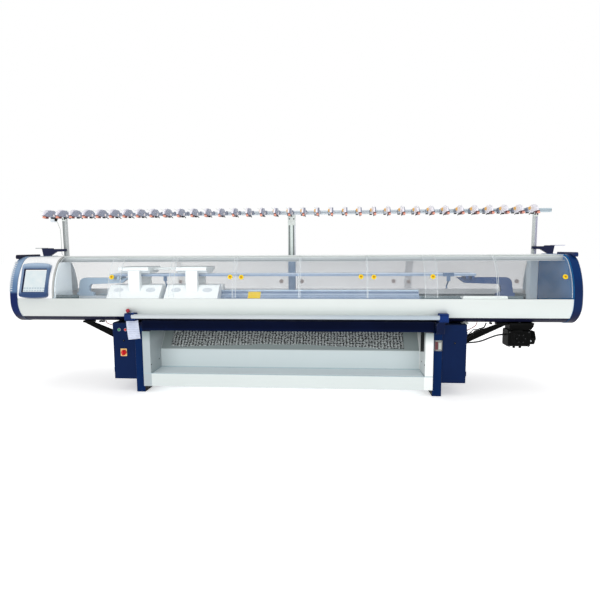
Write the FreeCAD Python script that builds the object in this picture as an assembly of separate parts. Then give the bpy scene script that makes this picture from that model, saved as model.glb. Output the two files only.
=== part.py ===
"""Computer-controlled flat knitting machine, extra wide, with two linked carriages.

Millimetres. X runs along the machine, Y from the operator to the back, Z up.
The origin is on the floor, under the middle of the machine.
"""
import FreeCAD, Part
import math
import os

V = FreeCAD.Vector
os.makedirs("parts", exist_ok=True)

# ---------------------------------------------------------------- driving dimensions
body_half = 2570.0          # body between the end caps, half its length
cap_thick = 80.0
cap_half = body_half + cap_thick
front_y = -470.0            # foremost line of the rounded body
sheet = 3.0                 # covers and pan

belly_radius = 200.0        # lower corners of the body section
belly_z = 880.0             # where the lower corner starts
sill_z = 914.0              # top edge of the long white covers
flank_z = 920.0             # where the leaning hood flank starts
flank_radius = 520.0
flank_angle = 38.0
crown_radius = 169.0        # upper corners of the hood
trim_angle = 46.5           # where the white cover gives way to the dark pan

flank_y = front_y + flank_radius
crown_y = flank_y - (flank_radius - crown_radius) * math.cos(math.radians(flank_angle))
crown_z = flank_z + (flank_radius - crown_radius) * math.sin(math.radians(flank_angle))
belly_y = front_y + belly_radius
body_bottom = belly_z - belly_radius
roof_z = crown_z + crown_radius

leg_in = 1367.0
leg_out = 1451.0
leg_depth = 421.0           # each way from the middle
cabinet_out = 1671.0
cabinet_low = 122.0
cabinet_high = 675.0
cabinet_front = -391.0
cabinet_back = 150.0
door_leaf = 20.0
hinge_x = 1676.0
hinge_y = -394.0

recess_half = 1292.0        # fabric tray, inside
tray_front = -456.0
tray_back = -180.0
tray_low = 67.0
tray_floor = 190.0
tray_lip = 195.0            # folded edge along the tray's front
tray_ledge = 371.0
tray_top = 600.0
apron_top_y = 8.0
apron_top_z = 585.0

ridge_z = 957.0             # top of the two needle beds
bed_half = 1295.0
bed_thick = 30.0
bed_foot_y = 208.0
slot_half = 30.0            # way through the main beam for the fabric
ridge_flat = 22.0           # flat on the ridge where the rail arms stand
casting_half = 2300.0

head_width = 540.0          # one carriage along X
head_centres = (-1548.0, -959.0)
bow_width = 310.0           # the T-shaped top that bridges the beds
pillar_width = 117.0

rail_half = 1820.0          # yarn carrier rails
rail_low = 1100.0
rail_high = 1126.0
rail_ys = (-75.0, -27.0, 27.0, 75.0)
carriers = ((1568.0, -75.0), (-1270.0, -27.0), (-1665.0, 27.0))

stand_y = 385.0             # posts and beam behind the hood
post_x = 2545.0
beam_half = 2700.0
beam_low = 1735.0
beam_high = 1775.0
profile_half = 20.0         # half of the posts' and the beam's section
unit_count = 36
unit_first = -2576.0
unit_pitch = 143.3
fin_width = 26.0
dial_y = stand_y - 150.0    # tension dial on each unit's left side
dial_z = 1754.0

bar_y = -505.0
bar_z = 750.0
bar_radius = 20.0
bar_left = -1441.0
bar_right = 1425.0

roller_radius = 28.0
roller_z = 640.0
roller_half = 1270.0
fabric_thick = 3.0
fabric_left = -1190.0
fabric_right = 1140.0
roller_pitch = roller_radius + fabric_thick / 2 + 0.4

monitor_edge = -2226.0      # right edge of the white housing at the left end
monitor_angle = 18.5        # where the screen's middle sits on the hood's flank
monitor_x = -2400.0
bezel_width = 276.0
bezel_height = 318.0
screen_width = 226.0
screen_height = 232.0

estop_x = -1484.0
estop_z = 800.0
estop_radius = 18.0
hinge_zs = (210.0, 585.0)
start_x = 1607.0            # the switches' distances to the left of the middle
stop_x = 1544.0
button_z = 608.0
lock_x = 1566.0
lock_z = 501.0
switch_x = 1566.0
switch_z = 387.0

pulley_x = 2178.0
pulley_y = -290.0
pulley_radius = 45.0
belt_low = 700.0
belt_high = 714.0

# doors: left edge, and where the knobs are; the second hood door is fixed
hood_doors = (
    (-2195.0, (-1640.0,)), (-1680.0, ()), (-1090.0, (-506.0,)), (-490.0, (-403.0,)),
    (130.0, (702.0,)), (755.0, (819.0,)), (1275.0, (1346.0,)), (1925.0, (2500.0,)),
)
hood_door_width = 638.0
rear_doors = (
    (-2480.0, (-2413.0,)), (-1300.0, (-1106.0, -128.0)),
    (42.0, (99.0, 1106.0)), (1222.0, (2413.0,)),
)
rear_door_width = 1258.0
rear_strip = 2484.0         # the fixed end strips start here
pane = 4.0
outer_track = 0.5
inner_track = 10.0
knob_radius = 22.0
front_knob_angle = 21.5
rear_knob_angle = 10.1


# ---------------------------------------------------------------- small helpers
def box(x0, x1, y0, y1, z0, z1):
    """A block between two corners."""
    return Part.makeBox(x1 - x0, y1 - y0, z1 - z0, V(x0, y0, z0))


def rod(start, end, radius):
    """A round bar from one point to another."""
    a = V(*start)
    b = V(*end)
    return Part.makeCylinder(radius, (b - a).Length, a, b - a)


def prism_x(points, x0, x1):
    """A (y, z) outline drawn along X."""
    loop = [V(x0, y, z) for y, z in points]
    return Part.Face(Part.makePolygon(loop + loop[:1])).extrude(V(x1 - x0, 0, 0))


def prism_y(points, y0, y1):
    """An (x, z) outline drawn along Y."""
    loop = [V(x, y0, z) for x, z in points]
    return Part.Face(Part.makePolygon(loop + loop[:1])).extrude(V(0, y1 - y0, 0))


def prism_z(points, z0, z1):
    """An (x, y) outline drawn up Z."""
    loop = [V(x, y, z0) for x, y in points]
    return Part.Face(Part.makePolygon(loop + loop[:1])).extrude(V(0, 0, z1 - z0))


def fuse(pieces):
    """One solid from pieces that share faces or volume."""
    whole = pieces[0].multiFuse(pieces[1:]) if len(pieces) > 1 else pieces[0]
    return whole.removeSplitter()


def turned(profile):
    """A body of revolution about Z from its (radius, z) outline."""
    loop = [V(r, 0, z) for r, z in profile]
    return Part.Face(Part.makePolygon(loop + loop[:1])).revolve(V(0, 0, 0), V(0, 0, 1), 360)


def rounded(shape, spots, radius):
    """Rounds the edges along Y that stand at the given (x, z) places."""
    picked = []
    for edge in shape.Edges:
        for x, z in spots:
            if all(abs(v.X - x) < 0.5 and abs(v.Z - z) < 0.5 for v in edge.Vertexes):
                picked.append(edge)
    return shape.makeFillet(radius, picked)


def mirror_x(shape):
    return shape.mirror(V(0, 0, 0), V(1, 0, 0))


def mirror_y(shape):
    return shape.mirror(V(0, 0, 0), V(0, 1, 0))


def save(name, shape):
    """Write one node, and say what it is made of."""
    shape.exportStep(f"parts/{name}.step")
    print(f"{name:24s} solids {len(shape.Solids):3d}  litres {shape.Volume / 1e6:9.3f}")


# ---------------------------------------------------------------- the body's section
def belly(angle, inset):
    """A point on the lower front corner; 0 is its front, 90 its bottom."""
    a = math.radians(angle)
    r = belly_radius - inset
    return V(0, belly_y - r * math.cos(a), belly_z - r * math.sin(a))


def flank(angle, inset):
    """A point on the leaning front of the hood, counted up from its foot."""
    a = math.radians(angle)
    r = flank_radius - inset
    return V(0, flank_y - r * math.cos(a), flank_z + r * math.sin(a))


def crown(angle, inset):
    """A point on the hood's upper front corner; 90 is its top."""
    a = math.radians(angle)
    r = crown_radius - inset
    return V(0, crown_y - r * math.cos(a), crown_z + r * math.sin(a))


def arc(curve, start, end, inset):
    """The arc of one of the three curves above between two angles."""
    middle = curve((start + end) / 2, inset)
    return Part.Arc(curve(start, inset), middle, curve(end, inset)).toShape()


def line(a, b):
    return Part.LineSegment(a, b).toShape()


def flipped(edge):
    return edge.mirror(V(0, 0, 0), V(0, 1, 0))


def band(runs, thick, x0, x1):
    """A curved sheet: runs are (curve, start, end, inset), in order from one edge."""
    outer = [arc(*run) for run in runs]
    inner = [arc(c, s, e, i + thick) for c, s, e, i in runs]
    edges = outer + inner
    for curve, angle, inset in ((runs[0][0], runs[0][1], runs[0][3]),
                                (runs[-1][0], runs[-1][2], runs[-1][3])):
        edges.append(line(curve(angle, inset), curve(angle, inset + thick)))
    for (c0, _, e0, i0), (c1, s1, _, i1) in zip(runs, runs[1:]):
        for depth in (0, thick):
            a = c0(e0, i0 + depth)
            b = c1(s1, i1 + depth)
            if a.distanceToPoint(b) > 0.01:
                edges.append(line(a, b))
    wire = Part.Wire(Part.__sortEdges__(edges))
    face = Part.Face(wire)
    face.translate(V(x0, 0, 0))
    return face.extrude(V(x1 - x0, 0, 0))


def envelope(inset, x0, x1):
    """The whole section as one solid; a negative inset stands proud of it."""
    half = [
        arc(belly, 90, 0, inset),
        line(belly(0, inset), flank(0, inset)),
        arc(flank, 0, flank_angle, inset),
        arc(crown, flank_angle, 90, inset),
    ]
    edges = half + [flipped(e) for e in half]
    for top in (belly(90, inset), crown(90, inset)):
        edges.append(line(top, V(0, -top.y, top.z)))
    face = Part.Face(Part.Wire(Part.__sortEdges__(edges)))
    face.translate(V(x0, 0, 0))
    return face.extrude(V(x1 - x0, 0, 0))


# ---------------------------------------------------------------- stand and frame
def leg(side):
    """A side stand: a box frame with a recessed web, and the rollers' bearing arms."""
    frame = box(leg_in, leg_out, -leg_depth, leg_depth, 0, body_bottom)
    for x0, x1 in ((leg_in, leg_in + 20), (leg_out - 20, leg_out)):
        frame = frame.cut(box(x0, x1, -leg_depth + 80, leg_depth - 80, 60, body_bottom - 60))
    arm = box(roller_half + 70, leg_in + 20, -62, 62, roller_z - 30, roller_z + 30)
    solid = fuse([frame, arm])
    for y in (-roller_pitch, roller_pitch):
        solid = solid.cut(rod((leg_in - 60, y, roller_z), (leg_out - 25, y, roller_z), 10.4))
    return mirror_x(solid) if side < 0 else solid


def cross_beams():
    """The long beams that tie the two side stands, front and back."""
    beam = box(-leg_in, leg_in, -445, -397, 607, 702)
    beam = beam.cut(box(-leg_in, leg_in, -441, -397, 613, 696))
    beam = beam.fuse(box(-leg_in, leg_in, -401, -397, 613, 640)).removeSplitter()
    return Part.makeCompound([beam, mirror_y(beam)])


def fabric_tray():
    """The white tray between the legs, with its ledge and the sloping apron."""
    slope = math.atan2(apron_top_z - tray_ledge, apron_top_y - tray_back)
    back = (3 * math.sin(slope), -3 * math.cos(slope))
    section = [
        (tray_front, tray_low), (tray_front, tray_lip), (tray_front + 3, tray_lip),
        (tray_front + 3, tray_floor), (tray_back - 2, tray_floor),
        (tray_back - 2, tray_ledge), (apron_top_y, apron_top_z),
        (apron_top_y + back[0], apron_top_z + back[1]), (tray_back + back[0], tray_ledge),
        (tray_back + back[0], tray_floor - 3), (tray_front + 3, tray_floor - 3),
        (tray_front + 3, tray_low),
    ]
    pieces = [prism_x(section, -recess_half, recess_half)]
    for side in (-1, 1):
        wall = box(recess_half, recess_half + 3, tray_front, apron_top_y, tray_low, tray_top)
        flange = box(recess_half, leg_in - 2, tray_front, tray_front + 3, tray_low, tray_top)
        tie = box(recess_half - 3, leg_in, -400, tray_back, tray_low + 40, tray_floor)
        lip = box(recess_half, leg_in - 2, tray_front, -424, tray_low, tray_floor)
        if side > 0:
            slot = [(-190, 372), (-392, 416), (-392, 592), (-190, 592)]
            wall = wall.cut(prism_x(slot, recess_half, recess_half + 3))
        for piece in (wall, flange, tie, lip):
            pieces.append(mirror_x(piece) if side < 0 else piece)
    return fuse(pieces)


def main_beam():
    """The roof-shaped beam under the needle beds: two long castings with the fabric's way
    between them, and an end casting at each side that ties them and carries a post."""
    vertical = bed_thick * math.sqrt(2)
    ridge = ridge_z + 3 - vertical
    low = body_bottom + sheet + 1
    foot_y = 186.0
    flange_y = 235.0
    flange_top = low + 26
    half = [
        (-slot_half, low), (-flange_y, low), (-flange_y, flange_top), (-foot_y, flange_top),
        (-foot_y, ridge - foot_y), (-slot_half, ridge - slot_half),
    ]
    front = prism_x(half, -casting_half, casting_half)
    rear = mirror_y(front)
    for x in (-pulley_x, pulley_x):
        lug = box(x - 32, x + 32, pulley_y - 32, -flange_y, low + 7, belt_low - 4)
        front = front.fuse(lug).cut(rod((x, pulley_y, low), (x, pulley_y, belt_low), 10.4))
    rear = fuse([rear, outrigger(0, 80)])
    key = [
        (-slot_half, low), (slot_half, low), (slot_half, ridge - slot_half),
        (ridge_flat, ridge - ridge_flat), (-ridge_flat, ridge - ridge_flat),
        (-slot_half, ridge - slot_half),
    ]
    end = fuse([
        prism_x(key, bed_half - 5, casting_half),
        box(casting_half, body_half, -flange_y, flange_y, low, flange_top),
        outrigger(post_x, 40),
    ])
    return Part.makeCompound([front.removeSplitter(), rear, end, mirror_x(end)])


def outrigger(x, width):
    """The arm that reaches out behind the body and holds a post."""
    outline = [
        (180, 694), (325, 694), (355, 705), (stand_y + 20, 741), (stand_y + 20, 790),
        (stand_y - 20, 790), (stand_y - 20, 745), (352, 725), (330, 712), (180, 712),
    ]
    return prism_x(outline, x - width / 2, x + width / 2)


def needle_bed(side):
    """One needle bed at 45 degrees, with its comb edge, front groove and foot rail."""
    foot_z = ridge_z - bed_foot_y + 3
    drop = bed_thick / math.sqrt(2)
    under = ridge_z + 3 - bed_thick * math.sqrt(2)
    section = [
        (-3, ridge_z), (-9, ridge_z), (-9, ridge_z - 3), (-14, ridge_z - 8),
        (-60, ridge_z - 57), (-64, ridge_z - 66), (-70, ridge_z - 67),
        (-bed_foot_y, foot_z), (-bed_foot_y + drop, foot_z - drop),
        (-slot_half, under - slot_half), (-3, ridge_z - 32),
    ]
    bed = prism_x(section, -bed_half, bed_half)
    return mirror_y(bed) if side > 0 else bed


# ---------------------------------------------------------------- covers
def long_cover(side):
    """The white cover below the hood, rounded under, with the door sill along its top."""
    runs = [(belly, trim_angle, 0, 0)]
    skin = band(runs, sheet, -body_half, body_half)
    upright = box(-body_half, body_half, front_y, front_y + sheet, belly_z, sill_z)
    sill = box(-body_half, body_half, front_y, front_y + 22, sill_z - sheet, sill_z)
    pieces = [skin, upright, sill]
    if side < 0:
        pieces.append(rod((estop_x, -466, estop_z), (estop_x, -440, estop_z), 16))
        lid = [(front_y + 14, sill_z - 6), (-350, sill_z + 13), (-350, sill_z + 16),
               (front_y + 14, sill_z - 3)]
        pieces.append(prism_x(lid, 1613, 2007))
    cover = fuse(pieces)
    if side < 0:
        cover = cover.cut(rod((estop_x, -480, estop_z), (estop_x, -430, estop_z), 8.4))
    return mirror_y(cover) if side > 0 else cover


def bottom_pan():
    """The dark pan under the body: a front and a rear sheet, turned up, and two end plates
    that leave the fabric's way open between them."""
    low = body_bottom
    skin = band([(belly, trim_angle, 90, 0)], sheet, -body_half, body_half)
    flat = box(-body_half, body_half, belly_y, -slot_half, low, low + sheet)
    front = fuse([skin, flat])
    rear = mirror_y(front)
    shaft_hole = rod((pulley_x, pulley_y, low - 10), (pulley_x, pulley_y, low + 40), 14)
    end = box(bed_half - 5, body_half, -slot_half, slot_half, low, low + sheet)
    return Part.makeCompound([front.cut(shaft_hole), rear, end, mirror_x(end)])


def end_cap(side):
    """One end cap: a thick moulded end a little proud of the covers, with a soft edge."""
    cap = envelope(-4, body_half, cap_half)
    rim = [e for e in cap.Edges if all(abs(v.X - cap_half) < 0.01 for v in e.Vertexes)]
    cap = cap.makeChamfer(12, rim)
    return mirror_x(cap) if side < 0 else cap


def top_rail():
    """The roof strip along the hood, with the guide lips that hold the doors' tops."""
    edge = -crown_y + 7
    web = edge - 14
    lip = edge + 26
    half = [
        (0, roof_z), (-edge, roof_z), (-edge, roof_z - 4), (-web, roof_z - 4),
        (-web, roof_z - 50), (-lip, roof_z - 50), (-lip, roof_z - 54),
        (-web + 4, roof_z - 54), (-web + 4, roof_z - 4), (0, roof_z - 4),
    ]
    front = prism_x(half, -body_half, body_half)
    return fuse([front, mirror_y(front)])


def monitor_panel():
    """The white housing front at the left end, following the hood's section."""
    skin = band([(flank, -0.6, flank_angle, 0), (crown, flank_angle, 87.5, 0)], 4,
                -body_half, monitor_edge)
    side = envelope(4, monitor_edge - 6, monitor_edge)
    side = side.common(box(-3000, 0, front_y, -150, sill_z, roof_z - 56))
    return fuse([skin, side]).cut(placed_on_panel(bezel_block(-40, 20)))


def placed_on_panel(shape):
    """Moves a piece drawn flat, facing +Z, on to the leaning panel."""
    centre = flank(monitor_angle, 0)
    place = FreeCAD.Placement(V(monitor_x, centre.y, centre.z),
                              FreeCAD.Rotation(V(1, 0, 0), 90 - monitor_angle))
    moved = shape.copy()
    moved.Placement = place
    return moved


def bezel_block(low, high):
    """A rounded block whose upper and lower edges are bowed."""
    w = bezel_width / 2
    h = bezel_height / 2
    bow = 12.0
    edges = [
        line(V(-w, -h, low), V(-w, h, low)),
        Part.Arc(V(-w, h, low), V(0, h + bow, low), V(w, h, low)).toShape(),
        line(V(w, h, low), V(w, -h, low)),
        Part.Arc(V(w, -h, low), V(0, -h - bow, low), V(-w, -h, low)).toShape(),
    ]
    block = Part.Face(Part.Wire(edges)).extrude(V(0, 0, high - low))
    corners = [e for e in block.Edges if abs(abs(e.tangentAt(e.FirstParameter).z) - 1) < 1e-6]
    return block.makeFillet(24, corners)


def monitor_bezel():
    """The bowed frame round the touch screen."""
    frame = bezel_block(-24, 16)
    front = [e for e in frame.Edges if all(abs(v.Z - 16) < 0.01 for v in e.Vertexes)]
    frame = frame.makeChamfer(5, front)
    window = box(-screen_width / 2, screen_width / 2, -screen_height / 2 - 4,
                 screen_height / 2 - 4, -25, 17)
    return placed_on_panel(frame.cut(window))


def monitor_screen():
    """The touch screen, set back in its frame."""
    glass = box(-screen_width / 2, screen_width / 2, -screen_height / 2 - 4,
                screen_height / 2 - 4, -20, 0)
    return placed_on_panel(glass)


# ---------------------------------------------------------------- hood doors
def door_knob(x, inset, angle):
    """A pull knob square to the leaning pane."""
    foot = flank(angle, inset + 1)
    out = foot - V(0, flank_y, flank_z)
    out.normalize()
    knob = turned([(0, 0), (10, 0), (10, 10), (knob_radius, 12), (knob_radius, 20), (0, 20)])
    knob.Placement = FreeCAD.Placement(V(x, foot.y, foot.z), FreeCAD.Rotation(V(0, 0, 1), out))
    return knob


def hood_door(left, width, inset, knobs, knob_angle):
    """A clear pane bent to the hood's section, with pull knobs at the given places."""
    pane_shape = band([(flank, 0.4, flank_angle, inset), (crown, flank_angle, 86, inset)],
                      pane, left, left + width)
    return fuse([pane_shape] + [door_knob(x, inset, knob_angle) for x in knobs])


# ---------------------------------------------------------------- knitting parts
def head_section(side):
    """One cam box over a needle bed: sloping cover, open underside clear of the bed."""
    section = [
        (-345, 768), (-100, 1013), (-45, 1013), (-33, 1001), (-33, 929),
        (-244, 718), (-295, 718),
    ]
    return section if side < 0 else [(-y, z) for y, z in section]


def carriage(centre):
    """Front and rear cam boxes joined by the bow that bridges the beds."""
    x0 = centre - head_width / 2
    x1 = centre + head_width / 2
    pieces = []
    for side in (-1, 1):
        block = prism_x(head_section(side), x0, x1)
        pieces.append(block)
        pillar = [(side * 165, 940), (side * 165, 1165), (side * 112, 1165), (side * 112, 990)]
        pieces.append(prism_x(pillar, centre - pillar_width / 2, centre + pillar_width / 2))
        lug = box(centre - 30, centre + 30, -258, -250, belt_low + 3, 722)
        if side < 0:
            pieces.append(lug)
    visor = [(-165, 1158), (-172, 1166), (-166, 1198), (166, 1198), (172, 1166), (165, 1158)]
    pieces.append(prism_x(visor, centre - bow_width / 2, centre + bow_width / 2))
    keel = box(centre - bow_width / 2 + 8, centre + bow_width / 2 - 8, -118, 118, 1134, 1160)
    pieces.append(keel)
    if centre == head_centres[0]:
        reach = head_centres[1] - head_centres[0] - bow_width / 2
        pieces.append(box(centre + bow_width / 2, centre + reach, -20, 20, 1164, 1190))
    return fuse(pieces)


def rails():
    """Four flat rails for the yarn carriers, rounded at their ends."""
    bars = []
    for y in rail_ys:
        middle = (rail_low + rail_high) / 2
        tip = (rail_high - rail_low) / 2
        bar = box(-rail_half, rail_half, y - 4, y + 4, rail_low, rail_high)
        for end in (-rail_half, rail_half):
            bar = bar.fuse(rod((end, y - 4, middle), (end, y + 4, middle), tip))
        bars.append(bar.removeSplitter())
    return Part.makeCompound(bars)


def rail_arms():
    """The two bent arms that stand on the casting and hold the rails' ends."""
    foot = ridge_z + 3 - bed_thick * math.sqrt(2) - ridge_flat
    top = 1083.0
    outline = [
        (2045, foot), (2225, foot), (2225, foot + 34), (2207, foot + 40), (2185, top),
        (1662, top), (1738, 1028), (2085, 1016), (2092, foot + 48), (2045, foot + 30),
    ]
    arm = prism_y(outline, -20, 20)
    arm = rounded(arm, [(2185, top)], 62)
    arm = rounded(arm, [(2085, 1016)], 36)
    saddles = [arm]
    for x in (1745, 1805):
        saddles.append(box(x - 12, x + 12, -82, 82, top - 14, rail_low))
    arm = fuse(saddles)
    return Part.makeCompound([arm, mirror_x(arm)])


def yarn_carrier(x, y):
    """A carrier that hangs on one rail, with its thin feeder reaching the comb gap."""
    side = 1 if y > 0 else -1
    cheek_in = 4.5
    cheek_out = 10.0
    head = box(x - 52, x + 52, y - cheek_out, y + cheek_out, rail_low - 4, rail_high + 4)
    slot = box(x - 53, x + 53, y - cheek_in, y + cheek_in, rail_low - 0.5, rail_high + 0.5)
    near, far = sorted((y + side * cheek_in, y + side * cheek_out))
    stem = box(x - 18, x + 18, near, far, 1050, rail_low)
    face_y = y + side * 7
    tip_y = y * 0.1
    finger = [
        (face_y - 2.5, 1056), (face_y + 2.5, 1056), (tip_y + 1.6, 1000), (tip_y + 1.6, 972),
        (tip_y - 1.6, 972), (tip_y - 1.6, 1000),
    ]
    blade = prism_x(finger, x - 7, x + 7)
    return fuse([head.cut(slot), stem, blade])


def roller(y):
    """A take-down roller with turned-down journals."""
    end = leg_in + 24
    return fuse([
        rod((-roller_half, y, roller_z), (roller_half, y, roller_z), roller_radius),
        rod((-end, y, roller_z), (end, y, roller_z), 10),
    ])


def knitted_fabric():
    """The fabric from the comb gap through the rollers and down the apron, wavy at its hem."""
    slope = math.atan2(apron_top_z - tray_ledge, apron_top_y - tray_back)
    along = (-math.cos(slope), -math.sin(slope))
    half = fabric_thick / 2
    top = (0.0, 940.0)
    bend_z = 602.0
    radius = 46.0
    turn = math.pi / 2 - slope
    centre = (-radius, bend_z)
    start = (0.0, bend_z)
    middle = (centre[0] + radius * math.cos(turn / 2), centre[1] - radius * math.sin(turn / 2))
    leave = (centre[0] + radius * math.cos(turn), centre[1] - radius * math.sin(turn))
    reach = 245.0
    end = (leave[0] + along[0] * reach, leave[1] + along[1] * reach)

    def offset(point, direction, amount):
        return V(fabric_left, point[0] + direction[0] * amount, point[1] + direction[1] * amount)

    mid_dir = (math.cos(turn / 2), -math.sin(turn / 2))
    leave_dir = (math.cos(turn), -math.sin(turn))
    near = [offset(top, (1, 0), -half), offset(start, (1, 0), -half),
            offset(middle, mid_dir, -half), offset(leave, leave_dir, -half),
            offset(end, leave_dir, -half)]
    far = [offset(top, (1, 0), half), offset(start, (1, 0), half),
           offset(middle, mid_dir, half), offset(leave, leave_dir, half),
           offset(end, leave_dir, half)]
    edges = [line(near[0], near[1]), Part.Arc(near[1], near[2], near[3]).toShape(),
             line(near[3], near[4]), line(near[4], far[4]), line(far[4], far[3]),
             Part.Arc(far[3], far[2], far[1]).toShape(), line(far[1], far[0]),
             line(far[0], near[0])]
    cloth = Part.Face(Part.Wire(edges)).extrude(V(fabric_right - fabric_left, 0, 0))
    waves = 5
    pitch = (fabric_right - fabric_left) / waves
    for k in range(waves):
        x = fabric_left + (k + 0.5) * pitch
        scoop = Part.makeCylinder(pitch * 0.9, 400, V(x, -400, end[1] - pitch * 0.9 + 22),
                                  V(0, 1, 0))
        cloth = cloth.cut(scoop)
    return cloth


# ---------------------------------------------------------------- controls
def operating_bar():
    """The long start and stop bar, with its end journals and the small cam lever."""
    return fuse([
        rod((bar_left, bar_y, bar_z), (bar_right, bar_y, bar_z), bar_radius),
        rod((bar_left - 32, bar_y, bar_z), (bar_right + 32, bar_y, bar_z), 10),
        rod((bar_left + 16, bar_y, bar_z), (bar_left + 16, bar_y, bar_z + 40), 11),
    ])


def bar_brackets():
    """The two cradles of the bar: the left on the cover, the right on the leg."""
    made = []
    for x0, x1, low, high in ((-1507, -1409, 705, 777), (1400, 1484, 700, 783)):
        block = box(x0, x1, bar_y, -360, low, high)
        made.append(block.cut(envelope(0, x0 - 1, x1 + 1)))
    foot = [(-leg_depth, 596), (-490, 596), (bar_y, 612), (bar_y, 700), (-leg_depth + 40, 700),
            (-leg_depth, 681)]
    foot = prism_x(foot, 1379, 1452).cut(envelope(0, 1300, 1500))
    made[1] = fuse([made[1], foot])
    groove = rod((bar_left, bar_y, bar_z), (bar_right, bar_y, bar_z), bar_radius + 0.4)
    bore = rod((bar_left - 33, bar_y, bar_z), (bar_right + 33, bar_y, bar_z), 10.4)
    lever_way = box(bar_left + 4, bar_left + 40, bar_y - 1, bar_y + 27, bar_z, bar_z + 40)
    made[0] = made[0].cut(lever_way)
    return Part.makeCompound([piece.cut(groove).cut(bore) for piece in made])


def cabinets():
    """The two control cabinets, open to the front, with hinge pins on their outer sides."""
    outer = box(leg_out, cabinet_out, cabinet_front, cabinet_back, cabinet_low, cabinet_high)
    hollow = box(leg_out + 4, cabinet_out - 4, cabinet_front - 1, cabinet_back - 4,
                 cabinet_low + 4, cabinet_high - 30)
    shell = outer.cut(hollow)
    pieces = [shell]
    for z in hinge_zs:
        pieces.append(box(cabinet_out, hinge_x + 3, hinge_y + 4, hinge_y + 14, z - 22, z - 1))
        pieces.append(box(hinge_x - 3, hinge_x + 3, hinge_y, hinge_y + 6, z - 22, z - 1))
        pieces.append(rod((hinge_x, hinge_y, z - 22), (hinge_x, hinge_y, z + 22), 3))
        pieces.append(rod((hinge_x, hinge_y, z - 22), (hinge_x, hinge_y, z - 1), 5))
    right = fuse(pieces)
    return Part.makeCompound([right, mirror_x(right)])


def cabinet_door(side):
    """A folded steel door with hinge knuckles, and on the left the switch openings."""
    leaf = box(leg_out + 4, cabinet_out, cabinet_front - door_leaf, cabinet_front - 0.5,
               cabinet_low + 3, cabinet_high - 3)
    pieces = [leaf]
    for z in hinge_zs:
        pieces.append(rod((hinge_x, hinge_y, z + 1), (hinge_x, hinge_y, z + 21), 5))
        pieces.append(box(cabinet_out - 4, hinge_x, hinge_y - 5, hinge_y - 1, z + 1, z + 21))
    pieces.append(rod((lock_x, cabinet_front - door_leaf - 5, lock_z),
                      (lock_x, cabinet_front - 1, lock_z), 9))
    if side < 0:
        for x in (start_x, stop_x):
            pieces.append(rod((x, cabinet_front - door_leaf - 5, button_z),
                              (x, cabinet_front - 2, button_z), 15))
        pieces.append(box(switch_x - 31, switch_x + 31, cabinet_front - door_leaf - 4,
                          cabinet_front - 1, switch_z - 39, switch_z + 39))
    door = fuse(pieces)
    for z in hinge_zs:
        door = door.cut(rod((hinge_x, hinge_y, z - 1), (hinge_x, hinge_y, z + 23), 3.4))
    if side < 0:
        face = cabinet_front - door_leaf
        for x in (start_x, stop_x):
            door = door.cut(rod((x, face - 6, button_z), (x, face + 6, button_z), 11.4))
            door = door.cut(rod((x, face - 6, button_z), (x, cabinet_front + 1, button_z), 5.4))
        door = door.cut(rod((switch_x, face - 6, switch_z),
                            (switch_x, cabinet_front + 1, switch_z), 5.4))
    return mirror_x(door) if side < 0 else door


def push_button(x):
    """A round push button whose stem passes through the door."""
    face = cabinet_front - door_leaf
    return fuse([
        rod((-x, face - 11, button_z), (-x, face + 1, button_z), 11),
        rod((-x, face, button_z), (-x, cabinet_front + 14, button_z), 5),
    ])


def switch_knob():
    """The rotary main switch: round base, raised grip, and its shaft."""
    face = cabinet_front - door_leaf
    base = rod((-switch_x, face - 20, switch_z), (-switch_x, face - 4.5, switch_z), 25)
    grip = box(-switch_x - 7, -switch_x + 7, face - 40, face - 18, switch_z - 24, switch_z + 24)
    shaft = rod((-switch_x, face - 8, switch_z), (-switch_x, cabinet_front + 20, switch_z), 5)
    return fuse([base, grip, shaft])


def emergency_stop():
    """The mushroom button on the front cover."""
    rim = estop_radius
    head = turned([(0, 0), (8, 0), (8, 34), (rim, 34), (rim, 45), (rim - 6, 51), (0, 51)])
    head.Placement = FreeCAD.Placement(V(estop_x, -438, estop_z),
                                       FreeCAD.Rotation(V(0, 0, 1), V(0, -1, 0)))
    return head


# ---------------------------------------------------------------- yarn stand
def stand_posts():
    """Three T-slot posts; they pass up behind the carriages and through the hood's back."""
    posts = []
    low_y = stand_y - profile_half
    groove = 8.0
    for x, width in ((-post_x, 40), (0, 80), (post_x, 40)):
        post = box(x - width / 2, x + width / 2, low_y, stand_y + profile_half, 790, beam_low)
        slots = [-20, 20] if width > 40 else [0]
        for dx in slots:
            for y in (low_y, stand_y + profile_half - groove):
                post = post.cut(box(x + dx - 4, x + dx + 4, y, y + groove, 791, beam_low - 1))
        posts.append(post)
    return Part.makeCompound(posts)


def stand_beam():
    """The beam across the posts, a T-slot section, with its small junction box."""
    front = stand_y - profile_half
    rear = stand_y + profile_half
    middle = (beam_low + beam_high) / 2
    section = [
        (front, beam_low), (rear, beam_low), (rear, beam_high), (stand_y + 4, beam_high),
        (stand_y + 4, beam_high - 9), (stand_y - 4, beam_high - 9), (stand_y - 4, beam_high),
        (front, beam_high), (front, middle + 4), (front + 9, middle + 4),
        (front + 9, middle - 4), (front, middle - 4),
    ]
    beam = prism_x(section, -beam_half, beam_half)
    joint_box = box(-beam_half, -2652, front, rear, beam_low - 52, beam_low)
    return fuse([beam, joint_box])


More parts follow.
